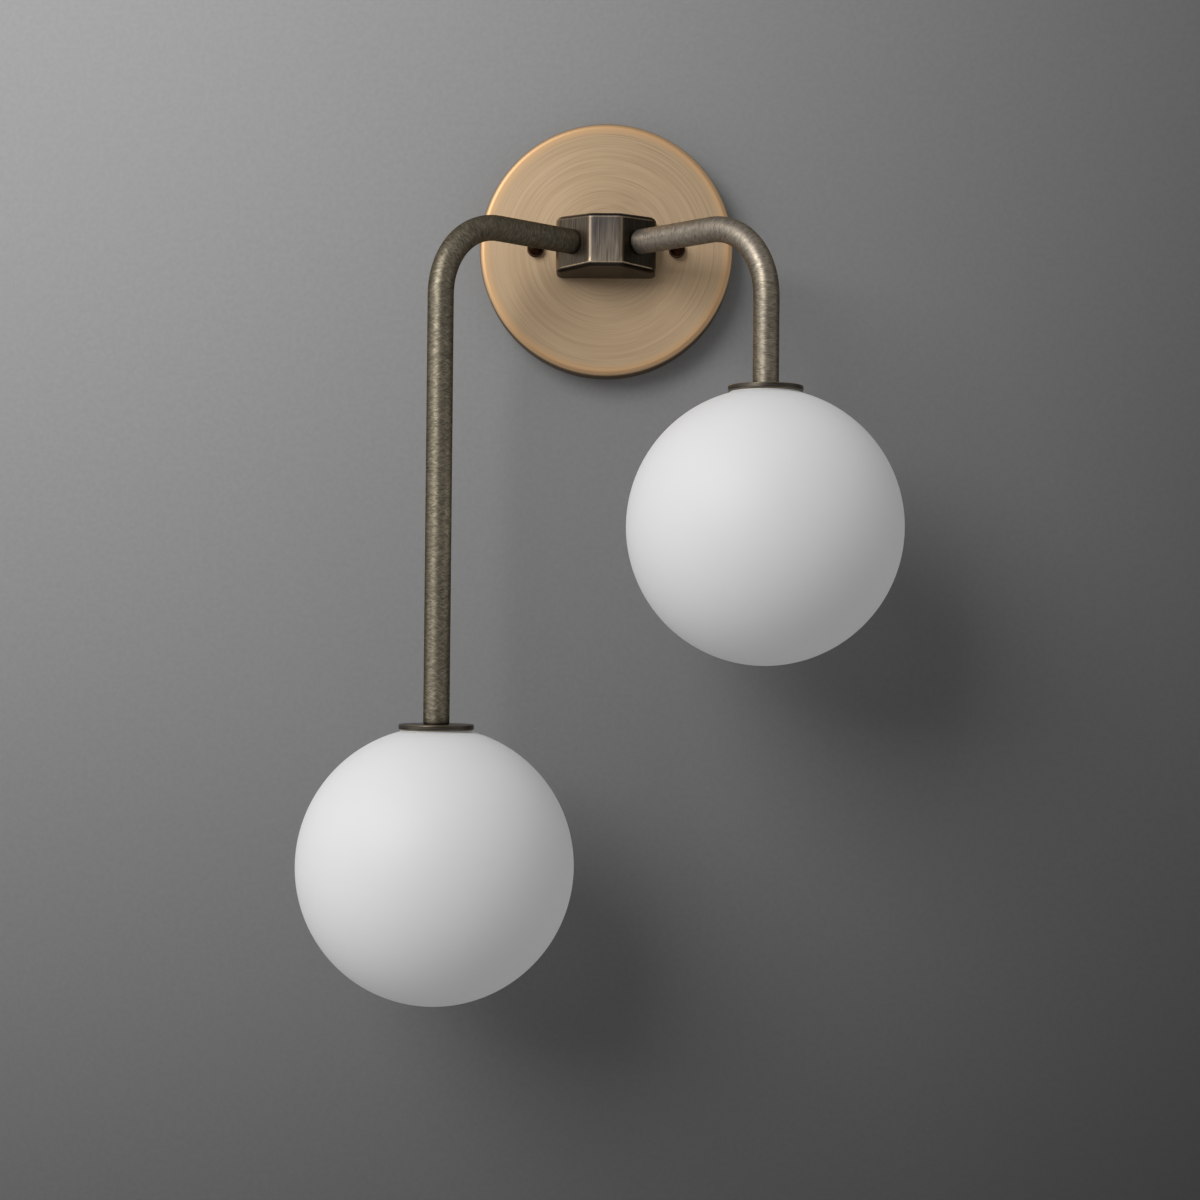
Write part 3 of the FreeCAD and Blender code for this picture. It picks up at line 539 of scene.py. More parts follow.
class Finish:
    """A material's tree with its shader, and short ways to place the shared groups in it."""

    def __init__(self, name, metallic=0.0, roughness=0.5, **shader):
        self.material = bpy.data.materials.new(name)
        self.material.use_nodes = True
        self.tree = self.material.node_tree
        self.shader = self.tree.nodes["Principled BSDF"]
        self.set(Metallic=metallic, Roughness=roughness, **shader)
        self.object = add(self.tree, "ShaderNodeTexCoord").outputs["Object"]

    def set(self, **inputs):
        for key, value in inputs.items():
            plug(self.tree, self.shader.inputs[key.replace("_", " ")], value)

    def group(self, which, **inputs):
        node = self.tree.nodes.new("ShaderNodeGroup")
        node.node_tree = which
        for key, value in inputs.items():
            plug(self.tree, node.inputs[key], value)
        return node.outputs

    def cloud(self, scale, cover, softness, vector=None):
        """Mask of tarnish in clouds, on the object's own coordinates if no vector is given."""
        if vector is None:
            vector = self.object
        return self.group(PATINA, Vector=vector, Scale=scale, Cover=cover, Softness=softness)["Mask"]

    def worn(self, scale, amount):
        """Mask of the worn edges."""
        return self.group(WORN_EDGE, Edge=self.attribute("edge"), Vector=self.object, Scale=scale,
                          Amount=amount)["Mask"]

    def grain(self, scale):
        return self.group(SPECKLE, Vector=self.object, Scale=scale)

    def attribute(self, name):
        node = add(self.tree, "ShaderNodeAttribute", {"attribute_name": name})
        return node.outputs["Fac" if name == "edge" else "Vector"]

    def bump(self, height, distance, strength=1.0):
        node = add(self.tree, "ShaderNodeBump", Height=height, Distance=distance, Strength=strength)
        self.set(Normal=node.outputs["Normal"])

    def mix(self, share, a, b):
        return blended(self.tree, share, a, b)

    def ranged(self, *values):
        return ranged(self.tree, *values)

    def calculate(self, operation, *values):
        return calculate(self.tree, operation, *values)

    def times(self, a, b):
        return times(self.tree, a, b)

    def plus(self, a, b):
        return plus(self.tree, a, b)


# ---------------- finishes of this light
def brushed_brass():
    """Canopy: pale antique brass brushed in circles, warmer on its rolled rim, with a painted highlight
    along the rim's crest, faint darker rings, a slightly browner tone in patches and painted shade
    on its side."""
    f = Finish("brushed_brass", 1.0, 0.46, Anisotropic=0.12)
    around = f.attribute("around")
    lines = f.group(BRUSHING, Around=around, Lines=4600.0, Length=16.0, Scratches=0.9)
    rings = f.group(BRUSHING, Around=around, Lines=1500.0, Length=9.0, Scratches=0.9)
    cloud = f.cloud(28.0, 0.5, 0.4)
    flattened = on_vectors(f.tree, "MULTIPLY", f.object, (1.0, 0.0, 1.0))["Vector"]
    radius = on_vectors(f.tree, "LENGTH", flattened)["Value"]
    rim = f.ranged(radius, CANOPY_RADIUS - 6.0 * MM, CANOPY_RADIUS - 2.2 * MM)
    face = f.mix(f.ranged(lines["Height"], 0.36, 0.64), (0.515, 0.371, 0.230), (0.61, 0.452, 0.297))
    face = f.mix(f.ranged(rings["Broad"], 0.42, 0.66, 0.0, 0.15), face, (0.46, 0.32, 0.19))
    face = f.mix(f.ranged(rings["Height"], 0.5, 0.66, 0.0, 0.3), face, (0.43, 0.305, 0.188))
    face = f.mix(f.times(lines["Scratch"], 0.36), face, (0.31, 0.22, 0.13))
    face = f.mix(f.times(cloud, 0.18), face, (0.47, 0.31, 0.18))
    colour = f.mix(rim, face, (0.65, 0.41, 0.215))
    # Painted highlight: a paler colour along the outermost crest of the rolled rim.
    crest_highlight = f.ranged(radius, CANOPY_RADIUS - 2.0 * MM, CANOPY_RADIUS - 0.7 * MM)
    colour = f.mix(crest_highlight, colour, (0.74, 0.505, 0.30))
    side = add(f.tree, "ShaderNodeSeparateXYZ", Vector=f.object).outputs["Y"]
    # Painted shade: the side wall behind the rolled rim is darkened all round.
    tarnish = f.ranged(side, -CANOPY_DEPTH + 0.8 * MM, -CANOPY_DEPTH + 2.1 * MM, 0.0, 0.9)
    f.set(Base_Color=f.mix(tarnish, colour, (0.085, 0.058, 0.033)), Tangent=f.attribute("across"),
          Roughness=f.plus(f.ranged(lines["Height"], 0.3, 0.7, 0.41, 0.51), f.times(rim, 0.07)))
    f.bump(lines["Height"], 0.02 * MM, 0.4)
    return f.material


def cast_bronze():
    """Hub: dark brown cast metal, rubbed up and down, with painted shade on its sides at the right, greyer
    and paler on its narrow front and there palest low at the right, with a dull brass line of wear
    along its edges that a painted highlight makes brightest along the lower ones, and painted shade in
    the middle of its rounds and on the underside beyond them."""
    f = Finish("cast_bronze", 1.0, 0.4)
    upright = add(f.tree, "ShaderNodeMapping", Vector=f.object, Scale=(1.0, 1.0, 0.035)).outputs[0]
    strokes = noise_on(f.tree, upright, 2200.0, 2.0, Roughness=0.55)
    edge = f.attribute("edge")
    worn = f.group(WORN_EDGE, Edge=edge, Vector=upright, Scale=900.0, Amount=0.42)["Mask"]
    cloud = f.cloud(110.0, 0.5, 0.25)
    grain = f.grain(1800.0)
    place = add(f.tree, "ShaderNodeSeparateXYZ", Vector=f.object).outputs
    aside = f.calculate("ABSOLUTE", place["X"])
    front = f.ranged(aside, HUB_FRONT_WIDTH * 0.42, HUB_FRONT_WIDTH * 0.6, 1.0, 0.0)
    low = f.ranged(f.calculate("SUBTRACT", place["X"], f.times(place["Z"], 1.4)), -14.0 * MM, 14.0 * MM)
    plain = f.mix(low, (0.160, 0.144, 0.134), (0.36, 0.295, 0.225))
    # Painted shade: both tones of the sides turn darker towards the right.
    right = f.ranged(place["X"], -5.0 * MM, 5.0 * MM)
    dark_sides_shaded_right = f.mix(right, (0.092, 0.074, 0.056), (0.019, 0.014, 0.009))
    pale_sides_shaded_right = f.mix(right, (0.21, 0.17, 0.125), (0.044, 0.035, 0.023))
    dark = f.mix(front, dark_sides_shaded_right, f.mix(0.6, plain, (0.05, 0.04, 0.035)))
    pale = f.mix(front, pale_sides_shaded_right, plain)
    colour = f.mix(f.ranged(strokes, 0.34, 0.68), dark, pale)
    colour = f.mix(f.times(cloud, 0.3), colour, (0.085, 0.066, 0.05))
    rubbed = f.mix(right, (0.24, 0.185, 0.13), (0.35, 0.265, 0.17))
    # Painted highlight on top of the wear: the worn line is made brightest along the lower edges.
    rubbed = f.mix(f.ranged(place["Z"], -8.0 * MM, -10.5 * MM), rubbed, (0.62, 0.48, 0.31))
    colour = f.mix(f.times(worn, 0.85), colour, rubbed)
    # Painted shade in the middle of the rounds, where the edge attribute is below zero.
    colour = f.mix(f.ranged(edge, -0.15, -0.8, 0.0, 0.85), colour, (0.012, 0.010, 0.008))
    # Painted shade on the underside.
    colour = f.mix(f.ranged(place["Z"], -12.3 * MM, -13.0 * MM, 0.0, 0.85), colour, (0.018, 0.012, 0.005))
    f.set(Base_Color=colour, Roughness=f.ranged(strokes, 0.3, 0.7, 0.34, 0.46))
    f.bump(f.plus(f.times(grain["Height"], 0.6), f.times(strokes, 0.5)), 0.04 * MM, 0.5)
    return f.material


def antique_bronze():
    """Arms: olive bronze in patches of two tones, scrubbed round the tube in short strokes that
    cross at a slant, with thin pale and dark scratches.  The right arm is painted paler, most along
    its level run, partly as a rubbed finish and partly as a painted reflection of the light at the
    left; painted shade darkens the left arm towards the hub, and both are dark at their ends."""
    f = Finish("antique_bronze", 1.0, 0.45, Anisotropic=0.2, Specular_Tint=(0.45, 0.40, 0.32))
    around = f.attribute("around")
    strokes = []
    for slant, lines, length in ((0.0, 3400.0, 330.0), (0.42, 2300.0, 230.0), (-0.38, 2700.0, 260.0)):
        laid = add(f.tree, "ShaderNodeMapping", Vector=around, Rotation=(0.0, slant * 0.8, slant)).outputs[0]
        strokes.append(f.group(BRUSHING, Around=laid, Lines=lines, Length=length, Scratches=1.0))
    straight, rising, falling = strokes
    height = f.plus(straight["Height"], f.plus(rising["Height"], falling["Height"]))
    place = add(f.tree, "ShaderNodeSeparateXYZ", Vector=f.object).outputs
    # Partly a rubbed finish, partly a painted reflection: the right arm and its scratches are made paler,
    # most along its level run.
    level = f.ranged(place["Z"], -30.0 * MM, -8.0 * MM, 0.3, 1.0)
    rubbed = f.times(f.ranged(place["X"], 5.0 * MM, 10.0 * MM, 0.0, 0.8), level)
    # Painted shade: the left arm darkens along its level run towards the hub.
    left_shade_near_hub = f.times(f.ranged(place["X"], -75.0 * MM, -15.0 * MM),
                     f.ranged(place["X"], -10.0 * MM, -5.0 * MM, 0.55, 0.0))
    scratch = f.calculate("MAXIMUM", rising["Scratch"], falling["Scratch"])
    scratch = f.times(scratch, f.ranged(left_shade_near_hub, 0.0, 0.55, 0.5, 0.25))
    cloud = f.cloud(60.0, 0.5, 0.3, around)
    dark = f.mix(cloud, (0.135, 0.122, 0.098), (0.172, 0.147, 0.102))
    pale = f.mix(cloud, (0.235, 0.203, 0.148), (0.290, 0.250, 0.185))
    colour = f.mix(f.ranged(height, 1.3, 1.7), dark, pale)
    colour = f.mix(f.times(rubbed, 0.7), colour, (0.49, 0.42, 0.355))
    colour = f.mix(left_shade_near_hub, colour, (0.075, 0.062, 0.040))
    colour = f.mix(scratch, colour, f.mix(rubbed, (0.41, 0.355, 0.265), (0.62, 0.54, 0.43)))
    colour = f.mix(f.times(straight["Scratch"], 0.5), colour, (0.075, 0.065, 0.047))
    worn = f.worn(1200.0, 0.4)
    f.set(Base_Color=f.mix(f.times(worn, 0.8), colour, (0.055, 0.042, 0.028)),
          Tangent=f.attribute("across"), Roughness=f.ranged(height, 1.3, 1.7, 0.51, 0.43))
    f.bump(height, 0.02 * MM, 0.35)
    return f.material


def disc_bronze():
    """Discs: the arms' dark bronze, turned, with a rubbed rim."""
    f = Finish("disc_bronze", 1.0, 0.36)
    lines = f.group(BRUSHING, Around=f.attribute("around"), Lines=3500.0, Length=90.0, Scratches=0.6)
    cloud = f.cloud(120.0, 0.5, 0.3)
    worn = f.worn(1300.0, 0.5)
    dark = f.mix(f.ranged(lines["Height"], 0.36, 0.66), (0.050, 0.044, 0.036), (0.165, 0.148, 0.125))
    dark = f.mix(f.times(cloud, 0.5), dark, (0.055, 0.044, 0.033))
    f.set(Base_Color=f.mix(f.times(worn, 0.7), dark, (0.34, 0.26, 0.165)),
          Roughness=f.ranged(lines["Height"], 0.3, 0.7, 0.30, 0.45))
    f.bump(lines["Height"], 0.02 * MM, 0.5)
    return f.material


def copper_nut():
    """Cap nuts and washers: dark reddish copper painted darker all over as the arms' shade, nearly black in
    patches, brighter on their edges.
    """
    f = Finish("copper_nut", 1.0, 0.3)
    cloud = f.cloud(420.0, 0.6, 0.25)
    lines = f.group(BRUSHING, Around=f.attribute("around"), Lines=4200.0, Length=300.0, Scratches=0.4)
    worn = f.worn(1800.0, 0.45)
    # Painted shade: both tones are darkened to stand in for the shade the arms cast.
    dark = f.mix(cloud, (0.055, 0.020, 0.009), (0.020, 0.009, 0.005))
    f.set(Base_Color=f.mix(f.times(worn, 0.35), dark, (0.30, 0.14, 0.07)),
          Roughness=f.ranged(cloud, 0.0, 1.0, 0.24, 0.42))
    f.bump(lines["Height"], 0.015 * MM, 0.4)
    return f.material


def machined(name, light, dark, roughness, scale=500.0):
    """Plain machined or plated metal: fine grain, small stains and a slightly uneven gloss."""
    f = Finish(name, 1.0, roughness)
    grain = f.grain(3200.0)
    cloud = f.cloud(scale, 0.42, 0.3)
    colour = f.mix(f.times(cloud, 0.6), light, dark)
    f.set(Base_Color=f.mix(f.times(grain["Pits"], 0.35), colour, dark),
          Roughness=f.ranged(cloud, 0.0, 1.0, roughness - 0.06, roughness + 0.12))
    f.bump(grain["Height"], 0.02 * MM, 0.35)
    return f.material


def moulded(name, light, dark, roughness):
    """Plastic, silicone or ceramic: a faint mottle and fine orange peel."""
    f = Finish(name, 0.0, roughness)
    grain = f.grain(2400.0)
    cloud = f.cloud(700.0, 0.45, 0.35)
    f.set(Base_Color=f.mix(f.times(cloud, 0.6), light, dark),
          Roughness=f.ranged(grain["Height"], 0.3, 0.7, roughness - 0.05, roughness + 0.08))
    f.bump(grain["Height"], 0.02 * MM, 0.3)
    return f.material


def opal_glass():
    """Globes: acid-etched opal glass, nearly even white with faint milky clouds, a soft sheen and a
    few rubbed marks from handling."""
    f = Finish("opal_glass", 0.0, 0.5, Subsurface_Weight=0.12, Subsurface_Radius=(1.0, 0.95, 0.9),
               Subsurface_Scale=0.004, IOR=1.5, Specular_IOR_Level=0.3)
    milk = f.cloud(18.0, 0.5, 0.45)
    etch = f.grain(3800.0)
    colour = f.mix(milk, (0.80, 0.80, 0.80), (0.765, 0.765, 0.77))
    rubs = f.cloud(55.0, 0.22, 0.06)
    f.set(Base_Color=f.mix(f.times(rubs, 0.25), colour, (0.70, 0.70, 0.69)),
          Roughness=f.ranged(rubs, 0.0, 1.0, 0.52, 0.42))
    f.bump(etch["Height"], 0.01 * MM, 0.25)
    return f.material


def frosted_glass():
    """Bulb envelopes: thin frosted glass."""
    f = Finish("frosted_glass", 0.0, 0.55, Transmission_Weight=0.8, IOR=1.45)
    etch = f.grain(3000.0)
    cloud = f.cloud(160.0, 0.5, 0.4)
    f.set(Base_Color=f.mix(cloud, (0.93, 0.93, 0.91), (0.86, 0.87, 0.86)),
          Roughness=f.ranged(etch["Height"], 0.3, 0.7, 0.5, 0.65))
    f.bump(etch["Height"], 0.01 * MM, 0.3)
    return f.material


# For each slot: light colour, dark colour, roughness, and the scale of the stains if not the usual.
MACHINED = {
    "yellow_brass": ((0.72, 0.52, 0.22), (0.42, 0.28, 0.11), 0.28),
    "zinc_steel": ((0.60, 0.61, 0.62), (0.38, 0.385, 0.39), 0.36, 220.0),
    "cup_aluminium": ((0.76, 0.77, 0.78), (0.52, 0.53, 0.54), 0.32),
    "tinned_copper": ((0.68, 0.65, 0.60), (0.48, 0.38, 0.28), 0.34),
    "green_screw": ((0.07, 0.36, 0.12), (0.035, 0.20, 0.07), 0.35),
}
MOULDED = {
    "green_sleeve": ((0.045, 0.30, 0.09), (0.03, 0.21, 0.06), 0.45),
    "white_sleeve": ((0.80, 0.79, 0.75), (0.68, 0.66, 0.60), 0.5),
    "connector_plastic": ((0.78, 0.26, 0.035), (0.62, 0.18, 0.025), 0.42),
    "clear_silicone": ((0.74, 0.74, 0.72), (0.62, 0.62, 0.59), 0.4),
    "white_ceramic": ((0.80, 0.78, 0.73), (0.68, 0.65, 0.58), 0.6),
    "bulb_ceramic": ((0.84, 0.83, 0.80), (0.74, 0.73, 0.69), 0.4),
    "bulb_core": ((0.85, 0.66, 0.18), (0.72, 0.52, 0.10), 0.55),
}
OWN_LOOKS = (brushed_brass, cast_bronze, antique_bronze, disc_bronze, copper_nut, opal_glass,
             frosted_glass)


def finishes():
    """One material for each slot of the record, by name."""
    made = {look.__name__: look() for look in OWN_LOOKS}
    for name, look in MACHINED.items():
        made[name] = machined(name, *look)
    for name, look in MOULDED.items():
        made[name] = moulded(name, *look)
    return made


# ---------------- pieces
MATERIALS = finishes()
SLOT_OF = {s["node"]: s["material_slot"] for s in frame["record"]["subparts"]}
BODY_OF = {n: body for body, members in frame["record"]["behaviour"]["bodies"].items() for n in members}


def stands_for(piece, node):
    """Gives a new piece its node's finish and body, and hides the node."""
    piece.data.materials.append(MATERIALS[SLOT_OF[node]])
    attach(piece, BODY_OF[node])
    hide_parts(node)


def make_canopy():
    r, d, w = CANOPY_RADIUS, CANOPY_DEPTH, CANOPY_WALL
    outline = [(NIPPLE_HOLE, d, 0), (r, d, CANOPY_ROLL), (r, 0, 0.25 * MM), (r - w, 0, 0.25 * MM),
               (r - w, d - w, CANOPY_ROLL - w), (NIPPLE_HOLE, d - w, 0)]
    pan = turned("canopy_pan", (0, 0, 0), -Y, outline, columns=256, steps=16, spacing=2.5 * MM)
    stands_for(pan, "canopy")


def make_cap_nut(side):
    """Domed cap nut: a straight skirt, a crown that is nearly half an ellipse, and a blind bore."""
    centre, r, top = level_seat("cap_nut_" + side)
    bore, end = STUD_RADIUS + THREAD_PLAY, top - CAP_NUT_END
    angle = np.linspace(0, math.pi / 2, 14)[1:-1]
    skirt = CAP_NUT_SKIRT * top
    crown = [(r * math.cos(a) ** 0.9, skirt + (top - skirt) * math.sin(a) ** 1.1, 0) for a in angle]
    outline = [(0, end, 0), (bore, end, 0), (bore, 0, 0), (r, 0, 0.25 * MM),
               (r, skirt * 0.98, 0)] + crown + [(0, top, 0)]
    nut = turned("cap_nut_dome_" + side, centre, -Y, outline, columns=64, steps=3, closed=False)
    stands_for(nut, "cap_nut_" + side)


def make_washer(side):
    centre, r, t = level_seat("cap_washer_" + side)
    bore = STUD_RADIUS + WASHER_PLAY
    outline = [(bore, 0, 0), (r, 0, 0.15 * MM), (r, t, 0.2 * MM), (bore, t, 0.1 * MM)]
    washer = turned("cap_washer_ring_" + side, centre, -Y, outline, columns=64, steps=3)
    stands_for(washer, "cap_washer_" + side)


def make_disc(side):
    centre, r, t = upright_seat("cap_disc_" + side)
    outline = [(NIPPLE_HOLE, 0, 0), (r, 0, DISC_ROUNDING), (r, t, DISC_ROUNDING), (NIPPLE_HOLE, t, 0)]
    disc = turned("cap_disc_plate_" + side, centre, Z, outline, columns=160, steps=6, spacing=0.4 * MM,
                  wear=0.42 * MM)
    stands_for(disc, "cap_disc_" + side)


def make_cup(side):
    """Cup that the globe screws onto: a plate, and a wall with a coarse thread outside."""
    centre, r, h = upright_seat("threaded_cup_" + side)
    outline = [(NIPPLE_HOLE, h, 0), (r, h, 0.2 * MM), (r, 0, 0.3 * MM), (CUP_BORE, 0, 0.3 * MM),
               (CUP_BORE, h - CUP_PLATE, 0.5 * MM), (NIPPLE_HOLE, h - CUP_PLATE, 0)]
    cup = turned("threaded_cup_" + side + "_turned", centre, Z, outline, columns=96, steps=4,
                 spacing=0.3 * MM, shift=thread(r, CUP_THREAD_DEPTH, CUP_PITCH, 0.3 * MM, h - 0.5 * MM))
    stands_for(cup, "threaded_cup_" + side)


def make_gasket(side):
    centre, r, t = upright_seat("globe_gasket_" + side)
    outline = [(NECK_RADIUS, 0, 0.2 * MM), (r, 0, 0.35 * MM), (r, t, 0.35 * MM), (NECK_RADIUS, t, 0.2 * MM)]
    ring = turned("globe_gasket_ring_" + side, centre, Z, outline, columns=120, steps=5)
    stands_for(ring, "globe_gasket_" + side)


def make_globe(side):
    """Blown ball: the outer sphere from its foot up to a soft lip, the plain neck inside it, and
    the inner sphere back down to its foot."""
    low, high = corners("globe_" + side)
    r = (high[0] - low[0]) / 2
    centre = [(low[0] + high[0]) / 2, (low[1] + high[1]) / 2, low[2] + r]
    lip = high[2] - centre[2]
    inside = r - GLOBE_WALL
    neck_outer = NECK_RADIUS + NECK_WALL
    outer_end = math.atan2(lip, GLOBE_LIP_RADIUS)
    inner_start = math.acos(neck_outer / inside)
    up = np.linspace(-math.pi / 2, outer_end, 110)
    down = np.linspace(inner_start, -math.pi / 2, 64)
    outline = [(r * math.cos(a), r * math.sin(a), 0) for a in up[:-1]]
    outline[0] = (0, -r, 0)
    outline += [(GLOBE_LIP_RADIUS, lip, LIP_ROUNDING), (NECK_RADIUS, lip, NECK_ROUNDING),
                (NECK_RADIUS, lip - NECK_DEPTH, NECK_ROUNDING),
                (neck_outer, lip - NECK_DEPTH, NECK_ROUNDING)]
    outline += [(inside * math.cos(a), inside * math.sin(a), 0) for a in down]
    outline[-1] = (0, -inside, 0)
    ball = turned("globe_ball_" + side, centre, Z, outline, columns=192, steps=5, closed=False)
    stands_for(ball, "globe_" + side)


def make_studs():
    """The two canopy studs, with a fine thread: one piece each, and both stand for one node."""
    low, high = corners("canopy_studs")
    length = high[1] - low[1]
    x = high[0] - STUD_RADIUS
    outline = [(0, 0, 0), (STUD_RADIUS, 0, 0.3 * MM), (STUD_RADIUS, length, 0.5 * MM), (0, length, 0)]
    ridge = thread(STUD_RADIUS, STUD_THREAD_DEPTH, STUD_PITCH, 0.2 * MM, length - 0.4 * MM)
    for side, sign in SIDES.items():
        stud = turned("canopy_stud_" + side, (sign * x, high[1], 0), -Y, outline, columns=28, steps=3,
                      spacing=0.13 * MM, closed=False, shift=ridge)
        stands_for(stud, "canopy_studs")


def make_nuts():
    """Lock nuts of the studs and of the hub's nipple."""
    low, high = corners("stud_lock_nuts")
    height = high[1] - low[1]
    width = (high[2] - low[2]) * math.cos(math.pi / 6)
    x = high[0] - width / 2
    for side, sign in SIDES.items():
        nut = hex_nut("stud_lock_nut_" + side, np.array([sign * x, high[1], 0]), -Y, width, height,
                      STUD_RADIUS + THREAD_PLAY, Z)
        stands_for(nut, "stud_lock_nuts")
    low, high = corners("hub_lock_nut")
    width = (high[2] - low[2]) * math.cos(math.pi / 6)
    nut = hex_nut("hub_lock_nut_hex", np.array([0, low[1], 0]), Y, width, high[1] - low[1], NIPPLE_HOLE, Z)
    stands_for(nut, "hub_lock_nut")


def make_connector(node):
    """Tapered connector with eighteen flutes on its outer wall and a smooth round tip."""
    low, high = corners(node)
    sign = 1 if low[2] > 0 else -1
    mouth = low[2] if sign > 0 else high[2]
    r, length = (high[0] - low[0]) / 2, high[2] - low[2]
    bore, depth = CONNECTOR_BORE, CONNECTOR_BORE_DEPTH
    outline = [(0, depth, 0), (bore, depth, 0.4 * MM), (bore, 0, 0.2 * MM), (r, 0, 0.3 * MM),
               (r, 0.25 * length, 0.5 * MM), (CONNECTOR_TIP, length, 1.0 * MM), (0, length, 0)]

    def flutes(radius, height, angle):
        rise = np.clip((height - 0.12 * length) * 1.2 / MM, 0, 1)
        fade = np.clip((0.93 * length - height) / MM, 0, 1)
        wave = np.abs(np.sin(FLUTES / 2 * angle)) ** 0.7
        return np.where(radius > bore + 0.05 * MM, -FLUTE_DEPTH * (rise * fade) * wave, 0.0)

    seat = ((low[0] + high[0]) / 2, (low[1] + high[1]) / 2, mouth)
    cone = turned(node + "_fluted", seat, Z * sign, outline, columns=144, steps=4,
                  spacing=0.6 * MM, closed=False, shift=flutes)
    stands_for(cone, node)


def make_pieces():
    make_canopy()
    stands_for(hub_body("hub_casting"), "hub")
    make_studs()
    make_nuts()
    for side in SIDES:
        stands_for(arm_tube("arm_tube_" + side, side), "arm_" + side)
        make_cap_nut(side)
        make_washer(side)
        make_disc(side)
        make_cup(side)
        make_gasket(side)
        make_globe(side)
    for node in ("wire_connector_live", "wire_connector_neutral"):
        make_connector(node)
    for name, node in frame["nodes"].items():
        for slot in node.material_slots:
            slot.material = MATERIALS[SLOT_OF[name]]


# ---------------- stage, light and camera
CAMERA_PLACE = (0.0150, -1.1228, -0.1933)
CAMERA_YAW, CAMERA_PITCH, CAMERA_ROLL = -0.853, 1.058, 0.517      # degrees
CAMERA_FOCAL = 2254.4             # in pixels of the photograph
PHOTO_SIZE = 1200
SENSOR = 36.0                     # width, in mm as Blender counts it
STAGE_WIDTH = 5.0
FLOOR_HEIGHT = -1.2
FLOOR_REACH = 3.5                 # out from the wall
WALL_HEIGHT = 3.2
WALL_GAP = 0.4 * MM               # between the canopy's back rim and the wall
WALL_DARKEST = 0.04
WALL_POOL_TONE = 0.447                 # of the painted pool of light on the wall, where it is palest
WALL_POOL_CENTRE = (-0.390, 0.238)     # that place, across and up
WALL_POOL_SPREAD = 0.477               # standard deviation of the tone's bell curve round it
SURROUND_STRENGTH = 0.397         # of the light from all sides, on average
SURROUND_SLOPE = (0.03, 0.12, 0.02)     # by which it grows to the right, behind the wall and upwards
LAMP_AIM = Vector((0.0, -0.06, -0.15))
# Direction from that spot, distance, width and height, and watts of each lamp.
LAMPS = {"side_lamp": ((-0.95, -0.30, 0.06), 1.6, (1.1, 2.4), 4.2),
         "front_lamp": ((-0.50, -0.73, 0.46), 2.5, (1.45, 1.45), 38.0)}


def make_camera():
    yaw, pitch, roll = (math.radians(a) for a in (CAMERA_YAW, CAMERA_PITCH, CAMERA_ROLL))
    ahead = Vector((math.sin(yaw) * math.cos(pitch), math.cos(yaw) * math.cos(pitch),
                    math.sin(pitch)))
    right = Vector((math.cos(yaw), -math.sin(yaw), 0))
    up = right.cross(ahead)
    level = right * math.cos(roll) + up * math.sin(roll)
    raised = up * math.cos(roll) - right * math.sin(roll)
    data = bpy.data.cameras.new("camera")
    data.sensor_width = SENSOR
    data.lens = CAMERA_FOCAL / PHOTO_SIZE * SENSOR
    camera = placed("camera", data)
    turn = Matrix((level, raised, -ahead)).transposed()
    camera.matrix_world = Matrix.Translation(CAMERA_PLACE) @ turn.to_4x4()
    bpy.context.scene.camera = camera


def seen_from_front(tree, shader, mirrored):
    """The shader for camera rays, and glossy ones if mirrored, that meet the front, and nothing for
    all others."""
    path = add(tree, "ShaderNodeLightPath").outputs
    looked = path["Is Camera Ray"]
    if mirrored:
        looked = calculate(tree, "MAXIMUM", looked, path["Is Glossy Ray"])
    facing = minus(tree, 1.0, add(tree, "ShaderNodeNewGeometry").outputs["Backfacing"])
    mix = add(tree, "ShaderNodeMixShader")
    plug(tree, mix.inputs[0], times(tree, looked, facing))
    tree.links.new(add(tree, "ShaderNodeBsdfTransparent").outputs[0], mix.inputs[1])
    tree.links.new(shader, mix.inputs[2])
    tree.links.new(mix.outputs[0], tree.nodes["Material Output"].inputs["Surface"])


def sheet_of(name, corner, along, up):
    """Flat stage sheet from a corner, along and up, that faces the cross product of those two."""
    corner, along, up = np.array(corner), np.array(along), np.array(up)
    mesh = bpy.data.meshes.new(name)
    mesh.from_pydata([corner, corner + along, corner + along + up, corner + up], [], [(0, 1, 2, 3)])
    sheet = placed(name, mesh)
    return sheet


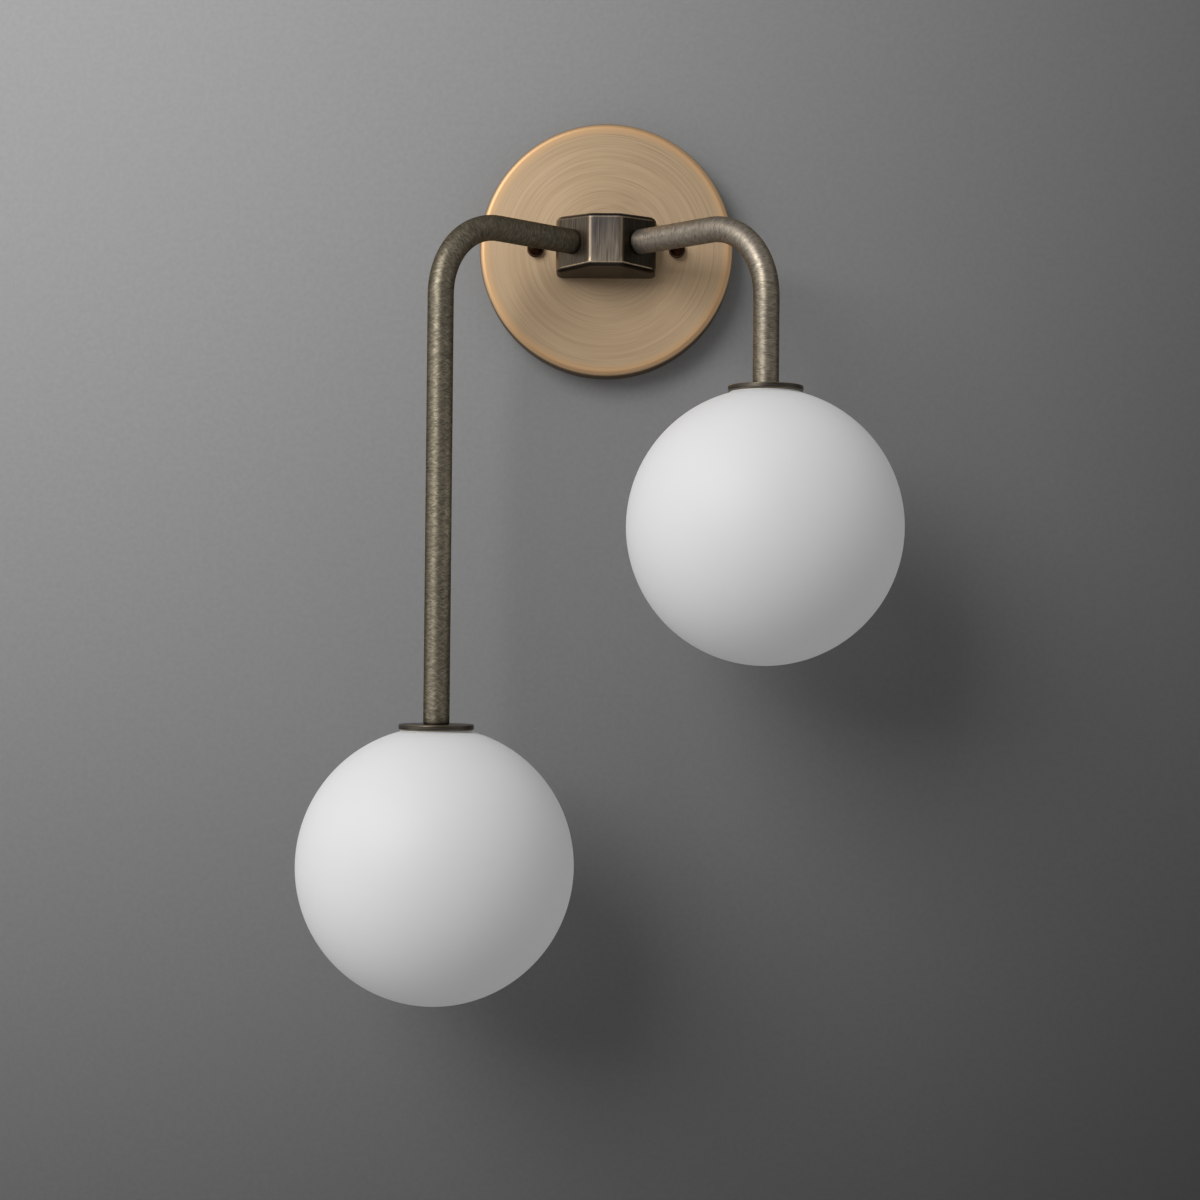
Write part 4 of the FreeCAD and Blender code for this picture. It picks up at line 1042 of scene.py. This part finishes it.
def make_stage():
    """Grey wall behind the light with a painted pool of light, whose grey fades by a bell curve from
    the upper left of the picture, and a pale floor."""
    left = -STAGE_WIDTH / 2
    wall = sheet_of("wall", (left, WALL_GAP, FLOOR_HEIGHT), X * STAGE_WIDTH, Z * WALL_HEIGHT)
    paint = Finish("wall_paint", 0.0, 0.9)
    # Painted light: a pool of light painted into the grey as a bell curve round the upper left.
    palest = (WALL_POOL_CENTRE[0], WALL_GAP, WALL_POOL_CENTRE[1])
    away = on_vectors(paint.tree, "DISTANCE", paint.object, palest)["Value"]
    square = paint.calculate("POWER", away, 2.0)
    bell = paint.calculate("POWER", math.e, paint.calculate("DIVIDE", square, -2 * WALL_POOL_SPREAD ** 2))
    tone = paint.calculate("MAXIMUM", paint.times(bell, WALL_POOL_TONE), WALL_DARKEST)
    peel = noise_on(paint.tree, paint.object, 420.0, 3.0)
    tone = paint.times(tone, paint.ranged(peel, 0.3, 0.7, 0.965, 1.035))
    grey = add(paint.tree, "ShaderNodeCombineColor", Red=tone, Green=tone, Blue=tone).outputs[0]
    paint.set(Base_Color=grey)
    paint.bump(peel, 0.25 * MM, 0.35)
    seen_from_front(paint.tree, paint.shader.outputs[0], True)
    wall.data.materials.append(paint.material)
    floor = sheet_of("floor", (left, -FLOOR_REACH, FLOOR_HEIGHT), X * STAGE_WIDTH,
                     Y * (FLOOR_REACH + WALL_GAP))
    boards = Finish("pale_floor", 0.0, 0.85)
    fleck = noise_on(boards.tree, boards.object, 30.0, 3.0)
    boards.set(Base_Color=boards.mix(fleck, (0.72, 0.72, 0.72), (0.78, 0.78, 0.78)))
    seen_from_front(boards.tree, boards.shader.outputs[0], False)
    floor.data.materials.append(boards.material)


def area_light(name, place, aim, size, power):
    data = bpy.data.lights.new(name, "AREA")
    data.shape = "RECTANGLE"
    data.size, data.size_y = size
    data.energy = power
    lamp = placed(name, data)
    lamp.location = place
    lamp.visible_camera = False
    lamp.rotation_mode = "QUATERNION"
    lamp.rotation_quaternion = (Vector(aim) - Vector(place)).to_track_quat("-Z", "Y")


def make_light():
    """Two large soft lamps, a weak one at the left and a strong one in front, above and left, in a
    surround that is brightest behind the wall and a little brighter at the right and above."""
    for name, (way, distance, size, power) in LAMPS.items():
        area_light(name, LAMP_AIM + Vector(way).normalized() * distance, LAMP_AIM, size, power)
    world = bpy.data.worlds.new("surround")
    bpy.context.scene.world = world
    world.use_nodes = True
    tree = world.node_tree
    way = add(tree, "ShaderNodeTexCoord").outputs["Generated"]
    slope = on_vectors(tree, "DOT_PRODUCT", way, SURROUND_SLOPE)["Value"]
    strength = plus(tree, slope, SURROUND_STRENGTH)
    plug(tree, tree.nodes["Background"].inputs["Strength"], strength)
    plug(tree, tree.nodes["Background"].inputs["Color"], (1.0, 1.0, 1.0))


make_pieces()
make_stage()
make_light()
make_camera()
bpy.context.scene.view_settings.view_transform = "Standard"

bpy.context.view_layer.update()
